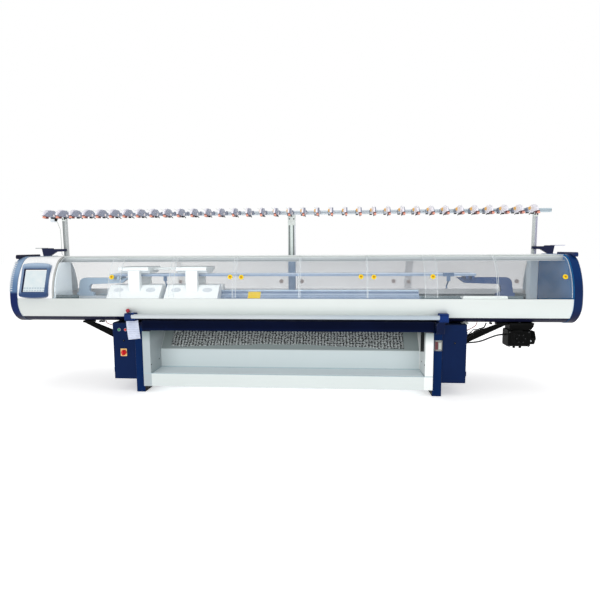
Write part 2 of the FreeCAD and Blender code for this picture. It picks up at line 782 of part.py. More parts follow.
def stop_motions():
    """Yarn stop motions along the beam: fin housing, tension dial, lamp and yarn guide."""
    face = stand_y - profile_half       # the beam's front, which each fin's back touches
    top = 1797.0
    fin = [
        (face - 292, 1716), (face - 262, 1750), (face - 200, 1782), (face - 110, 1796),
        (face, top), (face, 1742), (face - 117, 1716), (face - 200, 1727),
    ]
    pieces = [
        prism_x(fin, 0, fin_width),
        box(0, fin_width, face - 22, stand_y + 30, beam_high, 1799),
        box(4, fin_width - 4, face - 303, face - 267, 1700, 1722),
    ]
    for radius, sides, x0, x1 in ((25, 10, -12, 0), (11, 6, -26, -12)):
        corners = [2 * math.pi * k / sides for k in range(sides)]
        dial = [(dial_y + radius * math.cos(a), dial_z + radius * math.sin(a)) for a in corners]
        pieces.append(prism_x(dial, x0, x1))
    unit = fuse(pieces)
    units = []
    for k in range(unit_count):
        copy = unit.copy()
        copy.translate(V(unit_first + k * unit_pitch, 0, 0))
        units.append(copy)
    return Part.makeCompound(units)


def side_tensioners():
    """At each end: the wedge bracket with its rod on the post, and the bar on the cap."""
    made = []
    face = stand_y - profile_half
    top = roof_z + 4
    hand_bar = [
        (0, top), (-250, top), (-270, top - 2), (-300, top - 12), (-336, top - 22),
        (-346, top - 10), (-342, top + 12), (-330, top + 19), (-8, top + 19), (0, top + 13),
    ]
    for side, stem, neck, wing, rod_end in ((-1, 2530, 2683, 2805, 2885),
                                            (1, 2513, 2640, 2735, 2845)):
        wedge = [
            (stem, 1357), (neck - 45, 1352), (neck + 30, 1306), (wing - 15, 1306),
            (wing, 1392), (neck, 1392), (neck - 4, 1383), (stem, 1383),
        ]
        bracket = fuse([
            prism_y(wedge, face - 30, face),
            rod((neck + 60, face - 15, 1391), (rod_end, face - 15, 1391), 5),
        ])
        for piece in (bracket, prism_x(hand_bar, 2612, 2646)):
            made.append(mirror_x(piece) if side < 0 else piece)
    return Part.makeCompound(made)


# ---------------------------------------------------------------- under the body's ends
def diagonal_struts():
    """Struts from the cabinets up to the body's underside, with their end plates."""
    made = []
    low = body_bottom
    for side, outer, wall_low in ((-1, 1998, 501), (1, 2052, 480)):
        wall_high = wall_low + 66
        inner = outer - 78
        strut = prism_y([(inner, low - 18), (outer, low - 18), (cabinet_out + 8, wall_low),
                         (cabinet_out + 8, wall_high)], -322, -278)
        head = box(inner - 14, outer + 10, -330, -270, low - 18, low)
        plate = box(cabinet_out, cabinet_out + 8, -345, -255, wall_low - 8, wall_high + 8)
        piece = fuse([strut, head, plate])
        made.append(mirror_x(piece) if side < 0 else piece)
    return Part.makeCompound(made)


def drive_motor():
    """The drive unit under the right end: gear head, motor, end bell and cable glands."""
    low = body_bottom
    x0 = 2065.0
    flange = box(x0, x0 + 225, -350, -220, low - 14, low)
    neck = prism_y([(x0 + 6, low - 62), (x0 + 200, low - 62), (x0 + 222, low - 30),
                    (x0 + 222, low - 14), (x0 + 6, low - 14)], -345, -225)
    motor = box(x0 - 10, x0 + 190, -362, -215, low - 215, low - 62)
    motor = motor.makeChamfer(12, [e for e in motor.Edges if abs(e.tangentAt(0).x) > 0.9])
    bell = []
    for k in range(6):
        a = math.radians(60 * k)
        bell.append((-288 + 70 * math.cos(a), low - 140 + 70 * math.sin(a)))
    pieces = [flange, neck, motor, prism_x(bell, x0 + 190, x0 + 242)]
    for x in (x0 + 72, x0 + 128):
        pieces.append(rod((x, -288, low - 240), (x, -288, low - 214), 11))
    solid = fuse(pieces)
    return solid.cut(rod((pulley_x, pulley_y, low - 20), (pulley_x, pulley_y, low + 1), 10.4))


def pulley(x, shaft_low):
    """A flanged belt pulley on its upright shaft."""
    drum = pulley_radius - 0.4
    rim = pulley_radius + 5
    wheel = turned([
        (0, shaft_low), (10, shaft_low), (10, belt_low - 3), (rim, belt_low - 3),
        (rim, belt_low - 1), (drum, belt_low - 1), (drum, belt_high + 2), (0, belt_high + 2),
    ])
    wheel.translate(V(x, pulley_y, 0))
    return wheel


def drive_belt():
    """The toothed belt's loop, lying flat round the two pulleys."""
    def stadium(radius):
        ends = [Part.makeCylinder(radius, belt_high - belt_low, V(x, pulley_y, belt_low))
                for x in (-pulley_x, pulley_x)]
        middle = box(-pulley_x, pulley_x, pulley_y - radius, pulley_y + radius,
                     belt_low, belt_high)
        return fuse(ends + [middle])
    return stadium(pulley_radius + 3).cut(stadium(pulley_radius))


def end_columns():
    """The upright inner housings at both ends, and the rear hood's fixed end strips."""
    left = envelope(12, monitor_edge + 2, monitor_edge + 24)
    left = left.common(box(-3000, 0, front_y, -150, sill_z, roof_z - 54))
    right = prism_z([(2452, 312), (2452, 300), (2462, 288), (2484, 280), (2535, 280),
                     (2558, 288), (2568, 300), (2568, 312)], 712, 1246)
    made = [left, right]
    for side in (-1, 1):
        strip = band([(flank, -0.6, flank_angle, 0), (crown, flank_angle, 87.5, 0)], 4,
                     rear_strip, body_half)
        strip = mirror_y(strip).cut(box(post_x - 23, body_half + 1, 340, 420, 1150, 1260))
        made.append(mirror_x(strip) if side < 0 else strip)
    return Part.makeCompound(made)


# ---------------------------------------------------------------- paper and cable
def instruction_card():
    """A small paper card hung at the corner of the left cabinet door, a little askew."""
    card = box(-60, 60, -0.4, 0.4, -178, 0)
    card.rotate(V(0, 0, 0), V(0, 1, 0), -6)
    card.translate(V(-1469, -428, 697))
    hook = box(-1476, -1462, -428.4, cabinet_front - door_leaf, 660, 668)
    return fuse([card, hook])


def tube(route, radius):
    """A cable along straight runs joined by tangent arcs as large as the runs allow."""
    points = [V(*p) for p in route]
    edges = []
    start = points[0]
    radii = []
    for a, b, c in zip(points, points[1:], points[2:]):
        into = b - a
        out = c - b
        turn = into.getAngle(out)
        reach = 0.45 * min(into.Length, out.Length)
        bend = reach / math.tan(turn / 2)
        radii.append(round(bend))
        into.normalize()
        out.normalize()
        first = b - into * reach
        last = b + out * reach
        inward = out - into
        inward.normalize()
        middle = b + inward * (bend / math.cos(turn / 2) - bend)
        edges.append(line(start, first))
        edges.append(Part.Arc(first, middle, last).toShape())
        start = last
    edges.append(line(start, points[-1]))
    wire = Part.Wire(edges)
    ring = Part.Wire(Part.makeCircle(radius, points[0], points[1] - points[0]))
    solid = wire.makePipeShell([ring], True, False)
    print("cable", round(wire.Length), "mm, radii", radii, "section times length",
          round(solid.Volume / (math.pi * radius ** 2 * wire.Length), 4))
    return solid


motor_cable_route = (
    (1671, -300, 460), (1740, -300, 460), (1830, -304, 478), (1920, -304, 518),
    (1995, -300, 545), (2055, -300, 545),
)
signal_wire_routes = (
    ((-1671, -300, 628), (-1702, -300, 628), (-1748, -300, 640), (-1786, -300, 656),
     (-1790, -300, 680)),
    ((1671, -300, 603), (1702, -300, 603), (1750, -300, 628), (1784, -300, 652),
     (1790, -300, 680)),
)
signal_wire_radius = 3.5
motor_cable_radius = 7.0

nodes = {
    "left_leg": leg(-1),
    "right_leg": leg(1),
    "cross_beams": cross_beams(),
    "fabric_tray": fabric_tray(),
    "main_beam": main_beam(),
    "front_needle_bed": needle_bed(-1),
    "rear_needle_bed": needle_bed(1),
    "front_cover": long_cover(-1),
    "rear_cover": long_cover(1),
    "bottom_pan": bottom_pan(),
    "left_end_cap": end_cap(-1),
    "right_end_cap": end_cap(1),
    "top_rail": top_rail(),
    "monitor_panel": monitor_panel(),
    "monitor_bezel": monitor_bezel(),
    "monitor_screen": monitor_screen(),
    "left_carriage": carriage(head_centres[0]),
    "right_carriage": carriage(head_centres[1]),
    "carrier_rails": rails(),
    "rail_arms": rail_arms(),
    "take_down_roller": roller(-roller_pitch),
    "counter_roller": roller(roller_pitch),
    "knitted_fabric": knitted_fabric(),
    "operating_bar": operating_bar(),
    "bar_brackets": bar_brackets(),
    "cabinets": cabinets(),
    "left_cabinet_door": cabinet_door(-1),
    "right_cabinet_door": cabinet_door(1),
    "start_button": push_button(start_x),
    "stop_button": push_button(stop_x),
    "main_switch_knob": switch_knob(),
    "emergency_stop": emergency_stop(),
    "stand_posts": stand_posts(),
    "stand_beam": stand_beam(),
    "stop_motions": stop_motions(),
    "side_tensioners": side_tensioners(),
    "diagonal_struts": diagonal_struts(),
    "drive_motor": drive_motor(),
    "drive_pulley": pulley(pulley_x, body_bottom - 14),
    "idler_pulley": pulley(-pulley_x, body_bottom + 12),
    "drive_belt": drive_belt(),
    "end_columns": end_columns(),
    "instruction_card": instruction_card(),
    "motor_cable": tube(motor_cable_route, motor_cable_radius),
    "signal_wires": Part.makeCompound([tube(route, signal_wire_radius)
                                       for route in signal_wire_routes]),
}
for number, (left, knobs) in enumerate(hood_doors, 1):
    track = outer_track if number % 2 else inner_track
    door = hood_door(left, hood_door_width, track, knobs, front_knob_angle)
    nodes[f"hood_door_{number}"] = door
for number, (left, knobs) in enumerate(rear_doors, 1):
    track = outer_track if number in (2, 3) else inner_track
    door = hood_door(left, rear_door_width, track, knobs, rear_knob_angle)
    nodes[f"rear_door_{number}"] = mirror_y(door)
for number, (x, y) in enumerate(carriers, 1):
    nodes[f"yarn_carrier_{number}"] = yarn_carrier(x, y)

for name, shape in nodes.items():
    save(name, shape)
print(len(nodes), "nodes")
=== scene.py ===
"""Looks of the flat knitting machine. Metres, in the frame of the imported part."""
import random
from math import atan2, copysign, cos, pi, radians, sin

import bmesh
import bpy
from mathutils import Matrix, Vector


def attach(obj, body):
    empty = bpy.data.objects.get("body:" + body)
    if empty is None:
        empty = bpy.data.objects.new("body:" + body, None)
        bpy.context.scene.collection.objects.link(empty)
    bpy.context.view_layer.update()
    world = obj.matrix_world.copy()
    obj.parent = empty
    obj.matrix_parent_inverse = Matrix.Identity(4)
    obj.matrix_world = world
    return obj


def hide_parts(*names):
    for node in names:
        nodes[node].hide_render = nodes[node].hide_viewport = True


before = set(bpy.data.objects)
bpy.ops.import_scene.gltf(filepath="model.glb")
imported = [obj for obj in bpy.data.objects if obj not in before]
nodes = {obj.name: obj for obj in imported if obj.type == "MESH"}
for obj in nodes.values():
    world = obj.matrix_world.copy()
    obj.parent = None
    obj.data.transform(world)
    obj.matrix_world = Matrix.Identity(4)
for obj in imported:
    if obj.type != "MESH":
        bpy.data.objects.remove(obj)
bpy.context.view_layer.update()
scene = bpy.context.scene

# ---------- dimensions shared with the part
FRONT_Y = -0.47
FLANK_Z = 0.92
FLANK_RADIUS = 0.52
FLANK_ANGLE = 38.0
CROWN_RADIUS = 0.169
FLANK_Y = FRONT_Y + FLANK_RADIUS
CROWN_Y = FLANK_Y - (FLANK_RADIUS - CROWN_RADIUS) * cos(radians(FLANK_ANGLE))
CROWN_Z = FLANK_Z + (FLANK_RADIUS - CROWN_RADIUS) * sin(radians(FLANK_ANGLE))

DOOR_WIDTH = 0.638
FRONT_DOORS = (     # left edge, knob places; the one without a knob is fixed
    (-2.195, (-1.64,)), (-1.68, ()), (-1.09, (-0.506,)), (-0.49, (-0.403,)),
    (0.13, (0.702,)), (0.755, (0.819,)), (1.275, (1.346,)), (1.925, (2.5,)))
REAR_WIDTH = 1.258
REAR_DOORS = (      # left edge, knob places, inner pad places
    (-2.48, (-2.413,), (-1.267,)), (-1.3, (-1.106, -0.128), ()),
    (0.042, (0.099, 1.106), ()), (1.222, (2.413,), (1.267,)))
OUTER_TRACK = 0.0005
INNER_TRACK = 0.01
PANE = 0.004
FRONT_KNOB_ANGLE = 21.5
REAR_KNOB_ANGLE = 10.1

BEAM_FACE = 0.365           # the yarn stand's beam, its front
BEAM_TOP = 1.775
UNIT_COUNT = 36
UNIT_FIRST = -2.576
UNIT_PITCH = 0.1433
FIN_GREY, FIN_WHITE = 0.014, 0.015      # a stop motion's two layers, either side of its plane
BAR_Y, BAR_Z, BAR_LEFT, BAR_RIGHT = -0.505, 0.75, -1.441, 1.425    # the operating bar
DOOR_FACE = -0.411          # cabinet doors, their front
CABINET_X = 1.566           # the line of locks and main switch on them
SWITCH_Z, LOCK_Z = 0.387, 0.501
SCREEN_X, SCREEN_ANGLE = -2.4, 18.5   # the screen's middle, along the machine and up the flank
SCREEN_HALF_WIDTH, SCREEN_HALF_HEIGHT = 0.113, 0.116
RIB_FIRST, RIB_PITCH, RIB_WIDTH = 7.0, 2.35, 1.1        # left cap's ribs, in degrees
RIB_RISE = 0.0045
MOTOR_FACE, MOTOR_X, MOTOR_Z = -0.362, 2.17, 0.54


# ---------- the hood's section
def flank(angle, inset):
    a, r = radians(angle), FLANK_RADIUS - inset
    return (FLANK_Y - r * cos(a), FLANK_Z + r * sin(a))


def crown(angle, inset):
    a, r = radians(angle), CROWN_RADIUS - inset
    return (CROWN_Y - r * cos(a), CROWN_Z + r * sin(a))


def hood_line(inset, low=0.4, high=86.0):
    """Points (y, z) up the hood's front, from its foot to the roof."""
    line = [flank(low + (FLANK_ANGLE - low) * k / 14, inset) for k in range(15)]
    return line + [crown(FLANK_ANGLE + (high - FLANK_ANGLE) * k / 14, inset) for k in range(1, 15)]


# ---------- geometry
class Piece:
    """Geometry gathered face by face into one object."""

    def __init__(self):
        self.bm = bmesh.new()
        self.materials = []

    def skin(self, rings, material, caps=True, closed=True):
        """Faces through rings of points, with flat ends."""
        if material not in self.materials:
            self.materials.append(material)
        index = self.materials.index(material)
        rows = [[self.bm.verts.new(p) for p in ring] for ring in rings]
        count = len(rows[0])
        for a, b in zip(rows, rows[1:]):
            for k in range(count if closed else count - 1):
                m = (k + 1) % count
                self.bm.faces.new((a[k], a[m], b[m], b[k])).material_index = index
        if caps:
            for ring in (rows[0], rows[-1]):
                self.bm.faces.new(ring).material_index = index
        return self

    def prism_x(self, outline, x0, x1, material):
        return self.skin([[(x, y, z) for y, z in outline] for x in (x0, x1)], material)

    def prism_y(self, outline, y0, y1, material):
        return self.skin([[(x, y, z) for x, z in outline] for y in (y0, y1)], material)

    def block(self, x0, x1, y0, y1, z0, z1, material):
        return self.prism_x(((y0, z0), (y1, z0), (y1, z1), (y0, z1)), x0, x1, material)

    def lathe(self, profile, place, material, steps=32):
        """Turns an outline (radius, height) about its own Z, then puts it in its place."""
        rings = []
        turns = [2 * pi * k / steps for k in range(steps)]
        for r, h in profile:
            r = max(r, 1e-5)
            rings.append([place @ Vector((r * cos(a), r * sin(a), h)) for a in turns])
        return self.skin(rings, material)

    def tube(self, path, radius, material, steps=12):
        """A round bar along a path of points."""
        points = [Vector(p) for p in path]
        rings = []
        normal = None
        for k, point in enumerate(points):
            ahead = points[min(k + 1, len(points) - 1)] - points[max(k - 1, 0)]
            ahead.normalize()
            if normal is None:
                normal = ahead.orthogonal().normalized()
            normal = (normal - ahead * normal.dot(ahead)).normalized()
            side = ahead.cross(normal)
            rings.append([point + (normal * cos(a) + side * sin(a)) * radius
                          for a in (2 * pi * j / steps for j in range(steps))])
        return self.skin(rings, material)

    def mesh(self, name, smooth=35.0):
        bmesh.ops.recalc_face_normals(self.bm, faces=self.bm.faces)
        mesh = bpy.data.meshes.new(name)
        self.bm.to_mesh(mesh)
        self.bm.free()
        for material in self.materials:
            mesh.materials.append(material)
        mesh.shade_smooth()
        mesh.set_sharp_from_angle(angle=radians(smooth))
        return mesh

    def done(self, name, body="machine", bevel=0.0, smooth=35.0, replaces=(),
             lit=False):
        """The finished object; the hood's fill reaches it if it is lit."""
        piece = placed(name, self.mesh(name, smooth), body, bevel, replaces)
        if lit:
            lit_inside.objects.link(piece)


def added(name, data):
    """A new object in the scene."""
    made = bpy.data.objects.new(name, data)
    scene.collection.objects.link(made)
    return made


def placed(name, mesh, body="machine", bevel=0.0, replaces=()):
    """An object from a mesh, softened at its edges, riding on its body."""
    piece = added(name, mesh)
    if bevel:
        soft = piece.modifiers.new("soft edges", "BEVEL")
        soft.width = bevel
        soft.segments = 2
        soft.limit_method = "ANGLE"
        soft.angle_limit = radians(40)
        soft.harden_normals = True
    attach(piece, body)
    if replaces:
        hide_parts(*replaces)
    return piece


def facing(point, direction=(0, -1, 0)):
    """A matrix that puts local Z along a direction, to the front unless told, at a point."""
    turn = Vector((0, 0, 1)).rotation_difference(Vector(direction).normalized())
    return Matrix.Translation(point) @ turn.to_matrix().to_4x4()


# ---------- materials
WALE, COURSE = 0.031, 0.027         # the knit's repeat across and down
NEEDLE_SLOT, BELT_TOOTH, CARD_RULE = 0.0105, 0.008, 0.021   # pitches


def linear(colour):
    """A screen colour 0..255 as the linear values a shader takes."""
    values = [c / 255 for c in colour]
    return [v / 12.92 if v <= 0.04045 else ((v + 0.055) / 1.055) ** 2.4 for v in values] + [1.0]


class Shader:
    """A Principled material and the nodes that feed it."""

    def __init__(self, name):
        self.material = bpy.data.materials.new(name)
        self.material.use_nodes = True
        self.tree = self.material.node_tree
        self.base = self.tree.nodes["Principled BSDF"]

    def node(self, kind, settings=(), **inputs):
        """A node with its settings and what goes into its sockets."""
        made = self.tree.nodes.new(kind)
        for name, value in dict(settings).items():
            setattr(made, name, value)
        for name, value in inputs.items():
            self.plug(made.inputs[name.replace("_", " ")], value)
        return made

    def plug(self, socket, value):
        if isinstance(value, bpy.types.NodeSocket):
            self.tree.links.new(value, socket)
        else:
            socket.default_value = value

    def place(self, kind="Object", scale=(1, 1, 1)):
        """Coordinates in metres, stretched if asked."""
        source = self.node("ShaderNodeTexCoord").outputs[kind]
        if tuple(scale) == (1, 1, 1):
            return source
        return self.node("ShaderNodeMapping", Vector=source, Scale=scale).outputs["Vector"]

    def along(self, axis, kind="Object"):
        """One coordinate; a minus sign gives its distance from zero."""
        value = self.node("ShaderNodeSeparateXYZ", Vector=self.place(kind)).outputs[axis[-1]]
        return self.math("ABSOLUTE", value) if axis[0] == "-" else value

    def noise(self, where, scale, detail=3.0, roughness=0.55):
        return self.node("ShaderNodeTexNoise", Vector=where, Scale=scale, Detail=detail,
                         Roughness=roughness).outputs["Fac"]

    def clouds(self, where, scale, detail=3.0):
        """Soft patches from 0 to 1."""
        return self.spread(self.noise(where, scale, detail), 0, 1)

    def wave(self, value, period):
        """A sine from -1 to 1 along a value."""
        return self.math("SINE", self.times(value, 2 * pi / period))

    def spread(self, value, low, high, start=0.3, end=0.7, kind="LINEAR"):
        """Maps a value's middle range to low..high."""
        return self.node("ShaderNodeMapRange", {"interpolation_type": kind}, Value=value,
                         From_Min=start, From_Max=end, To_Min=low, To_Max=high).outputs["Result"]

    def stripe(self, value, centre, half):
        """One within a narrow range round the centre, fading out at twice its width."""
        away = self.math("ABSOLUTE", self.math("SUBTRACT", value, centre))
        return self.spread(away, 1.0, 0.0, half, half * 2, "SMOOTHSTEP")

    def math(self, operation, a, b=0.0):
        made = self.node("ShaderNodeMath", {"operation": operation})
        self.plug(made.inputs[0], a)
        self.plug(made.inputs[1], b)
        return made.outputs[0]

    def times(self, a, b):
        return self.math("MULTIPLY", a, b)

    def mix(self, factor, a, b):
        """Blends two colours; three numbers are a screen colour."""
        a, b = (linear(c) if isinstance(c, tuple) and len(c) == 3 else c for c in (a, b))
        return self.node("ShaderNodeMix", {"data_type": "RGBA"}, Factor=factor, A=a,
                         B=b).outputs["Result"]

    def bump(self, height, strength, distance, round_edges=0.0):
        made = self.node("ShaderNodeBump", Strength=strength, Distance=distance, Height=height)
        if round_edges:
            edge = self.node("ShaderNodeBevel", {"samples": 3}, Radius=round_edges)
            self.plug(made.inputs["Normal"], edge.outputs["Normal"])
        self.plug(self.base.inputs["Normal"], made.outputs["Normal"])

    def set(self, **values):
        for name, value in values.items():
            self.plug(self.base.inputs[name.replace("_", " ")], value)
        return self.material


def shaded(colour, amount):
    """The same colour a little darker or lighter."""
    return [min(1.0, c * amount) for c in colour[:3]] + [1.0]


def coated(name, colour, rough=0.4, metal=0.0, specular=0.3, shade=0.08, patch=2.5, grain=350.0,
           relief=0.15, stretch=(1, 1, 1), wear=0.0, alpha=1.0, round_edges=0.0, tones=(),
           lines=()):
    """Paint, plastic or metal: broad patches of tone, uneven gloss and a fine grain.

    Tones pass into another colour along an axis; lines are narrow stripes across one."""
    s = Shader(name)
    base = linear(colour)
    where = s.place()
    broad = s.clouds(where, patch, 4)
    tone = s.mix(broad, shaded(base, 1 - shade), shaded(base, 1 + shade * 0.6))
    for axis, start, end, other in tones:
        factor = s.spread(s.along(axis), 0.0, 1.0, start, end, "SMOOTHSTEP")
        other = linear(other)
        tone = s.mix(factor, tone, s.mix(broad, shaded(other, 1 - shade), other))
    for axis, centre, half, other in lines:
        tone = s.mix(s.stripe(s.along(axis), centre, half), tone, other)
    fine = s.noise(s.place(scale=stretch), grain, 2)
    if wear:
        edge = s.node("ShaderNodeBevel", {"samples": 3}, Radius=0.006)
        flat = s.node("ShaderNodeNewGeometry")
        dot = s.node("ShaderNodeVectorMath", {"operation": "DOT_PRODUCT"})
        s.plug(dot.inputs[0], edge.outputs["Normal"])
        s.plug(dot.inputs[1], flat.outputs["Normal"])
        worn = s.spread(dot.outputs["Value"], wear, 0.0, 0.8, 0.98)
        worn = s.times(worn, s.clouds(where, 25, 4))
        tone = s.mix(worn, tone, [min(1.0, c * 0.5 + 0.22) for c in base[:3]] + [1.0])
    s.bump(fine, relief, 0.0004, round_edges)
    return s.set(Base_Color=tone, Roughness=s.spread(fine, rough - 0.05, rough + 0.05),
                 Metallic=metal, Specular_IOR_Level=specular, Alpha=alpha)


# what enamels of one kind share
PALE = dict(grain=420, relief=0.1)
NAVY = dict(
    rough=0.42, specular=0.05, shade=0.14, grain=500, relief=0.2, wear=0.3, round_edges=0.003)


def dress(names, material):
    """Gives the part's own nodes of these names a material."""
    for name in names.split():
        nodes[name].data.materials.clear()
        nodes[name].data.materials.append(material)
    return material


def clear_sheet():
    """Acrylic: nearly clear; a whitish veil of painted reflection, faint scuff marks, cast
    waviness.
    """
    s = Shader("clear acrylic")
    where = s.place()
    # the whitish veil's patchy opacity: painted reflection of the bright room, with scuff marks
    reflection_and_scuffs = s.spread(s.noise(where, 7, 5), 0.07, 0.13)
    s.bump(s.noise(where, 5, 1), 0.12, 0.004)
    tint = s.mix(s.clouds(where, 2), (232, 241, 247), (246, 250, 252))
    return s.set(Base_Color=tint, Roughness=0.08, Specular_IOR_Level=0.6, Alpha=reflection_and_scuffs)


def milky_sheet():
    """The rear doors' milky sheet, brighter towards the left end as painted light."""
    s = Shader("milky acrylic")
    where = s.place()
    tint = s.mix(s.clouds(where, 1.6), (208, 211, 214), (218, 220, 221))
    x = s.along("X")
    # painted light towards the left end, painted shade towards the right end
    tint = s.mix(s.spread(x, 1.0, 0.0, -2.3, -0.6, "SMOOTHSTEP"), tint, (238, 235, 231))
    tint = s.mix(s.spread(x, 0.0, 1.0, 0.3, 1.6, "SMOOTHSTEP"), tint, (198, 198, 203))
    s.bump(s.noise(where, 6, 1), 0.1, 0.003)
    veil = s.spread(x, 0.34, 0.64, -2.3, 0.2, "SMOOTHSTEP")
    return s.set(Base_Color=tint, Roughness=0.22, Specular_IOR_Level=0.4, Alpha=veil)


def knit_stripes():
    """Knitted ribs: pale loops on dark gaps, wale by wale, speckled stitch by stitch."""
    s = Shader("rib knit")
    uv = s.place("UV")
    across = s.along("X", "UV")                  # metres along the machine
    down = s.along("Y", "UV")                    # metres down the cloth
    wander = s.spread(s.noise(uv, 5, 2), -0.006, 0.006)
    wale = s.wave(s.math("ADD", across, wander), WALE)
    chevron = s.times(s.math("ABSOLUTE", s.wave(across, WALE)), 0.01)
    stitch = s.wave(s.math("ADD", down, chevron), COURSE)
    speckle = s.spread(s.noise(uv, 62, 2), -2.2, 2.2, 0.25, 0.75)
    mixed = s.math("ADD", s.math("ADD", s.times(wale, 0.7), speckle), s.times(stitch, 0.45))
    tone = s.mix(s.spread(mixed, 0, 1, -0.9, 1.25), (27, 32, 33), (212, 220, 220))
    s.bump(s.math("ADD", wale, s.times(stitch, 0.5)), 0.6, 0.002)
    return s.set(Base_Color=tone, Roughness=0.85, Specular_IOR_Level=0.2, Sheen_Weight=0.3)


def bed_steel():
    """Ground steel cut by needle slots, a bright comb edge and a dark band of needle butts."""
    s = Shader("needle bed steel")
    where = s.place()
    x = s.along("X")
    z = s.along("Z")
    slots = s.wave(x, NEEDLE_SLOT)
    dirt = s.spread(s.noise(where, 14, 4), -0.5, 0.5)
    tone = s.mix(
        s.spread(s.math("ADD", slots, dirt), 0, 1, -1, 1), (134, 154, 184), (164, 183, 208))
    tone = s.mix(s.spread(z, 0.0, 1.0, 0.942, 0.948, "SMOOTHSTEP"), tone, (206, 226, 244))
    tone = s.mix(s.stripe(z, 0.934, 0.0035), tone, (112, 132, 168))
    tone = s.mix(s.stripe(z, 0.914, 0.003), tone, (186, 204, 224))
    flecks = s.spread(s.noise(s.place(scale=(1.0, 0.7, 0.7)), 120, 3), 0.0, 1.0, 0.42, 0.58)
    near = s.times(s.spread(x, 1.0, 0.0, -0.46, -0.38, "SMOOTHSTEP"), flecks)
    tone = s.mix(s.times(near, 0.55), tone, (70, 92, 128))
    s.bump(slots, 0.5, 0.0015)
    return s.set(Base_Color=tone, Roughness=0.42, Metallic=0.15, Specular_IOR_Level=0.4)


def toothed_rubber():
    """Black rubber with its teeth across the belt."""
    s = Shader("toothed belt rubber")
    teeth = s.wave(s.along("X"), BELT_TOOTH)
    tone = s.mix(s.spread(teeth, 0, 1, -1, 1), (16, 17, 18), (48, 49, 51))
    s.bump(teeth, 0.8, 0.002)
    return s.set(Base_Color=tone, Roughness=0.7, Specular_IOR_Level=0.2)


def screen_face():
    """A pale screen page: a plain work area over two rows of keys."""
    s = Shader("screen page")
    across = s.along("X", "UV")
    up = s.along("Y", "UV")
    columns, rows, key_rows = 8, 9, 2
    keys = []
    for value, count, half in ((across, columns, 0.36), (up, rows, 0.3)):
        cell = s.math("FRACT", s.times(value, count))
        keys.append(s.math("LESS_THAN", s.math("ABSOLUTE", s.math("SUBTRACT", cell, 0.5)), half))
    key = s.times(*keys)
    key = s.times(key, s.math("LESS_THAN", up, key_rows / rows))
    area = s.mix(s.clouds(s.place("UV"), 3, 2), (226, 240, 244), (240, 248, 249))
    tone = s.mix(s.times(key, 0.75), area, (182, 200, 212))
    tone = s.mix(s.stripe(up, 0.975, 0.012), tone, (255, 255, 255))
    return s.set(Base_Color=linear((20, 24, 28)), Roughness=0.12, Specular_IOR_Level=0.4,
                 Emission_Color=tone, Emission_Strength=0.9)


def printed_card():
    """Card stock with faint grey rules, no words."""
    s = Shader("ruled card")
    where = s.place()
    rules = s.wave(s.along("Z"), CARD_RULE)
    broken = s.spread(s.noise(s.place(scale=(1.0, 1.0, 6.0)), 34, 2), 0.0, 1.0, 0.42, 0.56)
    ink = s.times(s.spread(rules, 0.0, 0.34, 0.1, 0.7), broken)
    paper = s.mix(s.clouds(where, 14), (196, 204, 226), (214, 221, 238))
    s.bump(s.noise(where, 900, 2), 0.25, 0.0004)
    return s.set(
        Base_Color=s.mix(ink, paper, (120, 126, 150)), Roughness=0.7, Specular_IOR_Level=0.2)


# Cabinets darker above 0.66: painted shade on their tops.
paint_navy = dress("cabinets left_cabinet_door right_cabinet_door", coated(
    "navy enamel", (12, 32, 72), **NAVY, tones=(("Z", 0.66, 0.69, (8, 14, 34)),)))
# Legs: painted shade darkens them towards their tops under the pan and makes their inner sides near
# black.
dress("left_leg right_leg", coated(
    "leg enamel", (4, 36, 84), **NAVY, tones=(("Z", 0.6, 0.67, (12, 18, 44)),
    ("-X", 1.3685, 1.3672, (3, 4, 9)))))
dress("bottom_pan", coated(
    "deep navy enamel", (14, 17, 44), rough=0.45, specular=0.08, shade=0.15, grain=500, relief=0.2,
    wear=0.2, round_edges=0.003))
bracket_navy = dress("bar_brackets", coated(
    "bracket enamel", (20, 48, 104), specular=0.08, shade=0.14, grain=500, relief=0.2, wear=0.3,
    round_edges=0.003, tones=(("X", 0.0, 1.0, (16, 50, 116)), ("Z", 0.722, 0.7, (6, 22, 58)))))
# The beam's navy is darkened as painted shade, darkest above 0.61-0.64 in the bar's shadow.
dress("cross_beams", coated(
    "beam enamel", (3, 11, 38), rough=0.45, specular=0.03, shade=0.25, grain=500, relief=0.2,
    wear=0.2, tones=(("Z", 0.64, 0.61, (10, 24, 58)),)))
# Left cap: upper part painted pale steel-blue as a reflection of the bright room, lower part
# painted darker as shade, inner face painted lighter blue as light on the navy; outer face navy.
dress("left_end_cap", coated(
    "left cap moulding", (4, 30, 88), rough=0.36, specular=0.12, shade=0.1, grain=300, relief=0.12,
    round_edges=0.006, tones=(("Z", 0.955, 0.985, (92, 122, 160)),
    ("Z", 1.02, 1.22, (138, 164, 194)), ("Z", 0.8, 0.7, (8, 14, 44)),
    ("-X", 2.5715, 2.5705, (120, 140, 168)), ("X", -2.642, -2.6495, (8, 34, 92)))))
# Right cap: painted lighter higher up as reflection and darker low down as shade; inner face
# painted bright blue as light on the navy.
dress("right_end_cap", coated(
    "right cap moulding", (10, 38, 84), rough=0.36, specular=0.1, shade=0.1, grain=300, relief=0.12,
    round_edges=0.006, tones=(("Z", 0.98, 1.16, (12, 50, 104)), ("Z", 0.86, 0.72, (12, 18, 52)),
    ("-X", 2.5715, 2.5705, (8, 106, 170)))))
# Cover a touch darker low down and darker towards the left end: painted shade.
dress("front_cover", coated(
    "white enamel", (221, 227, 225), rough=0.34, shade=0.03, patch=1.2, wear=0.08,
    round_edges=0.003, **PALE, tones=(("Z", 0.86, 0.74, (219, 227, 225)),
    ("X", -1.0, -2.1, (205, 210, 208)))))
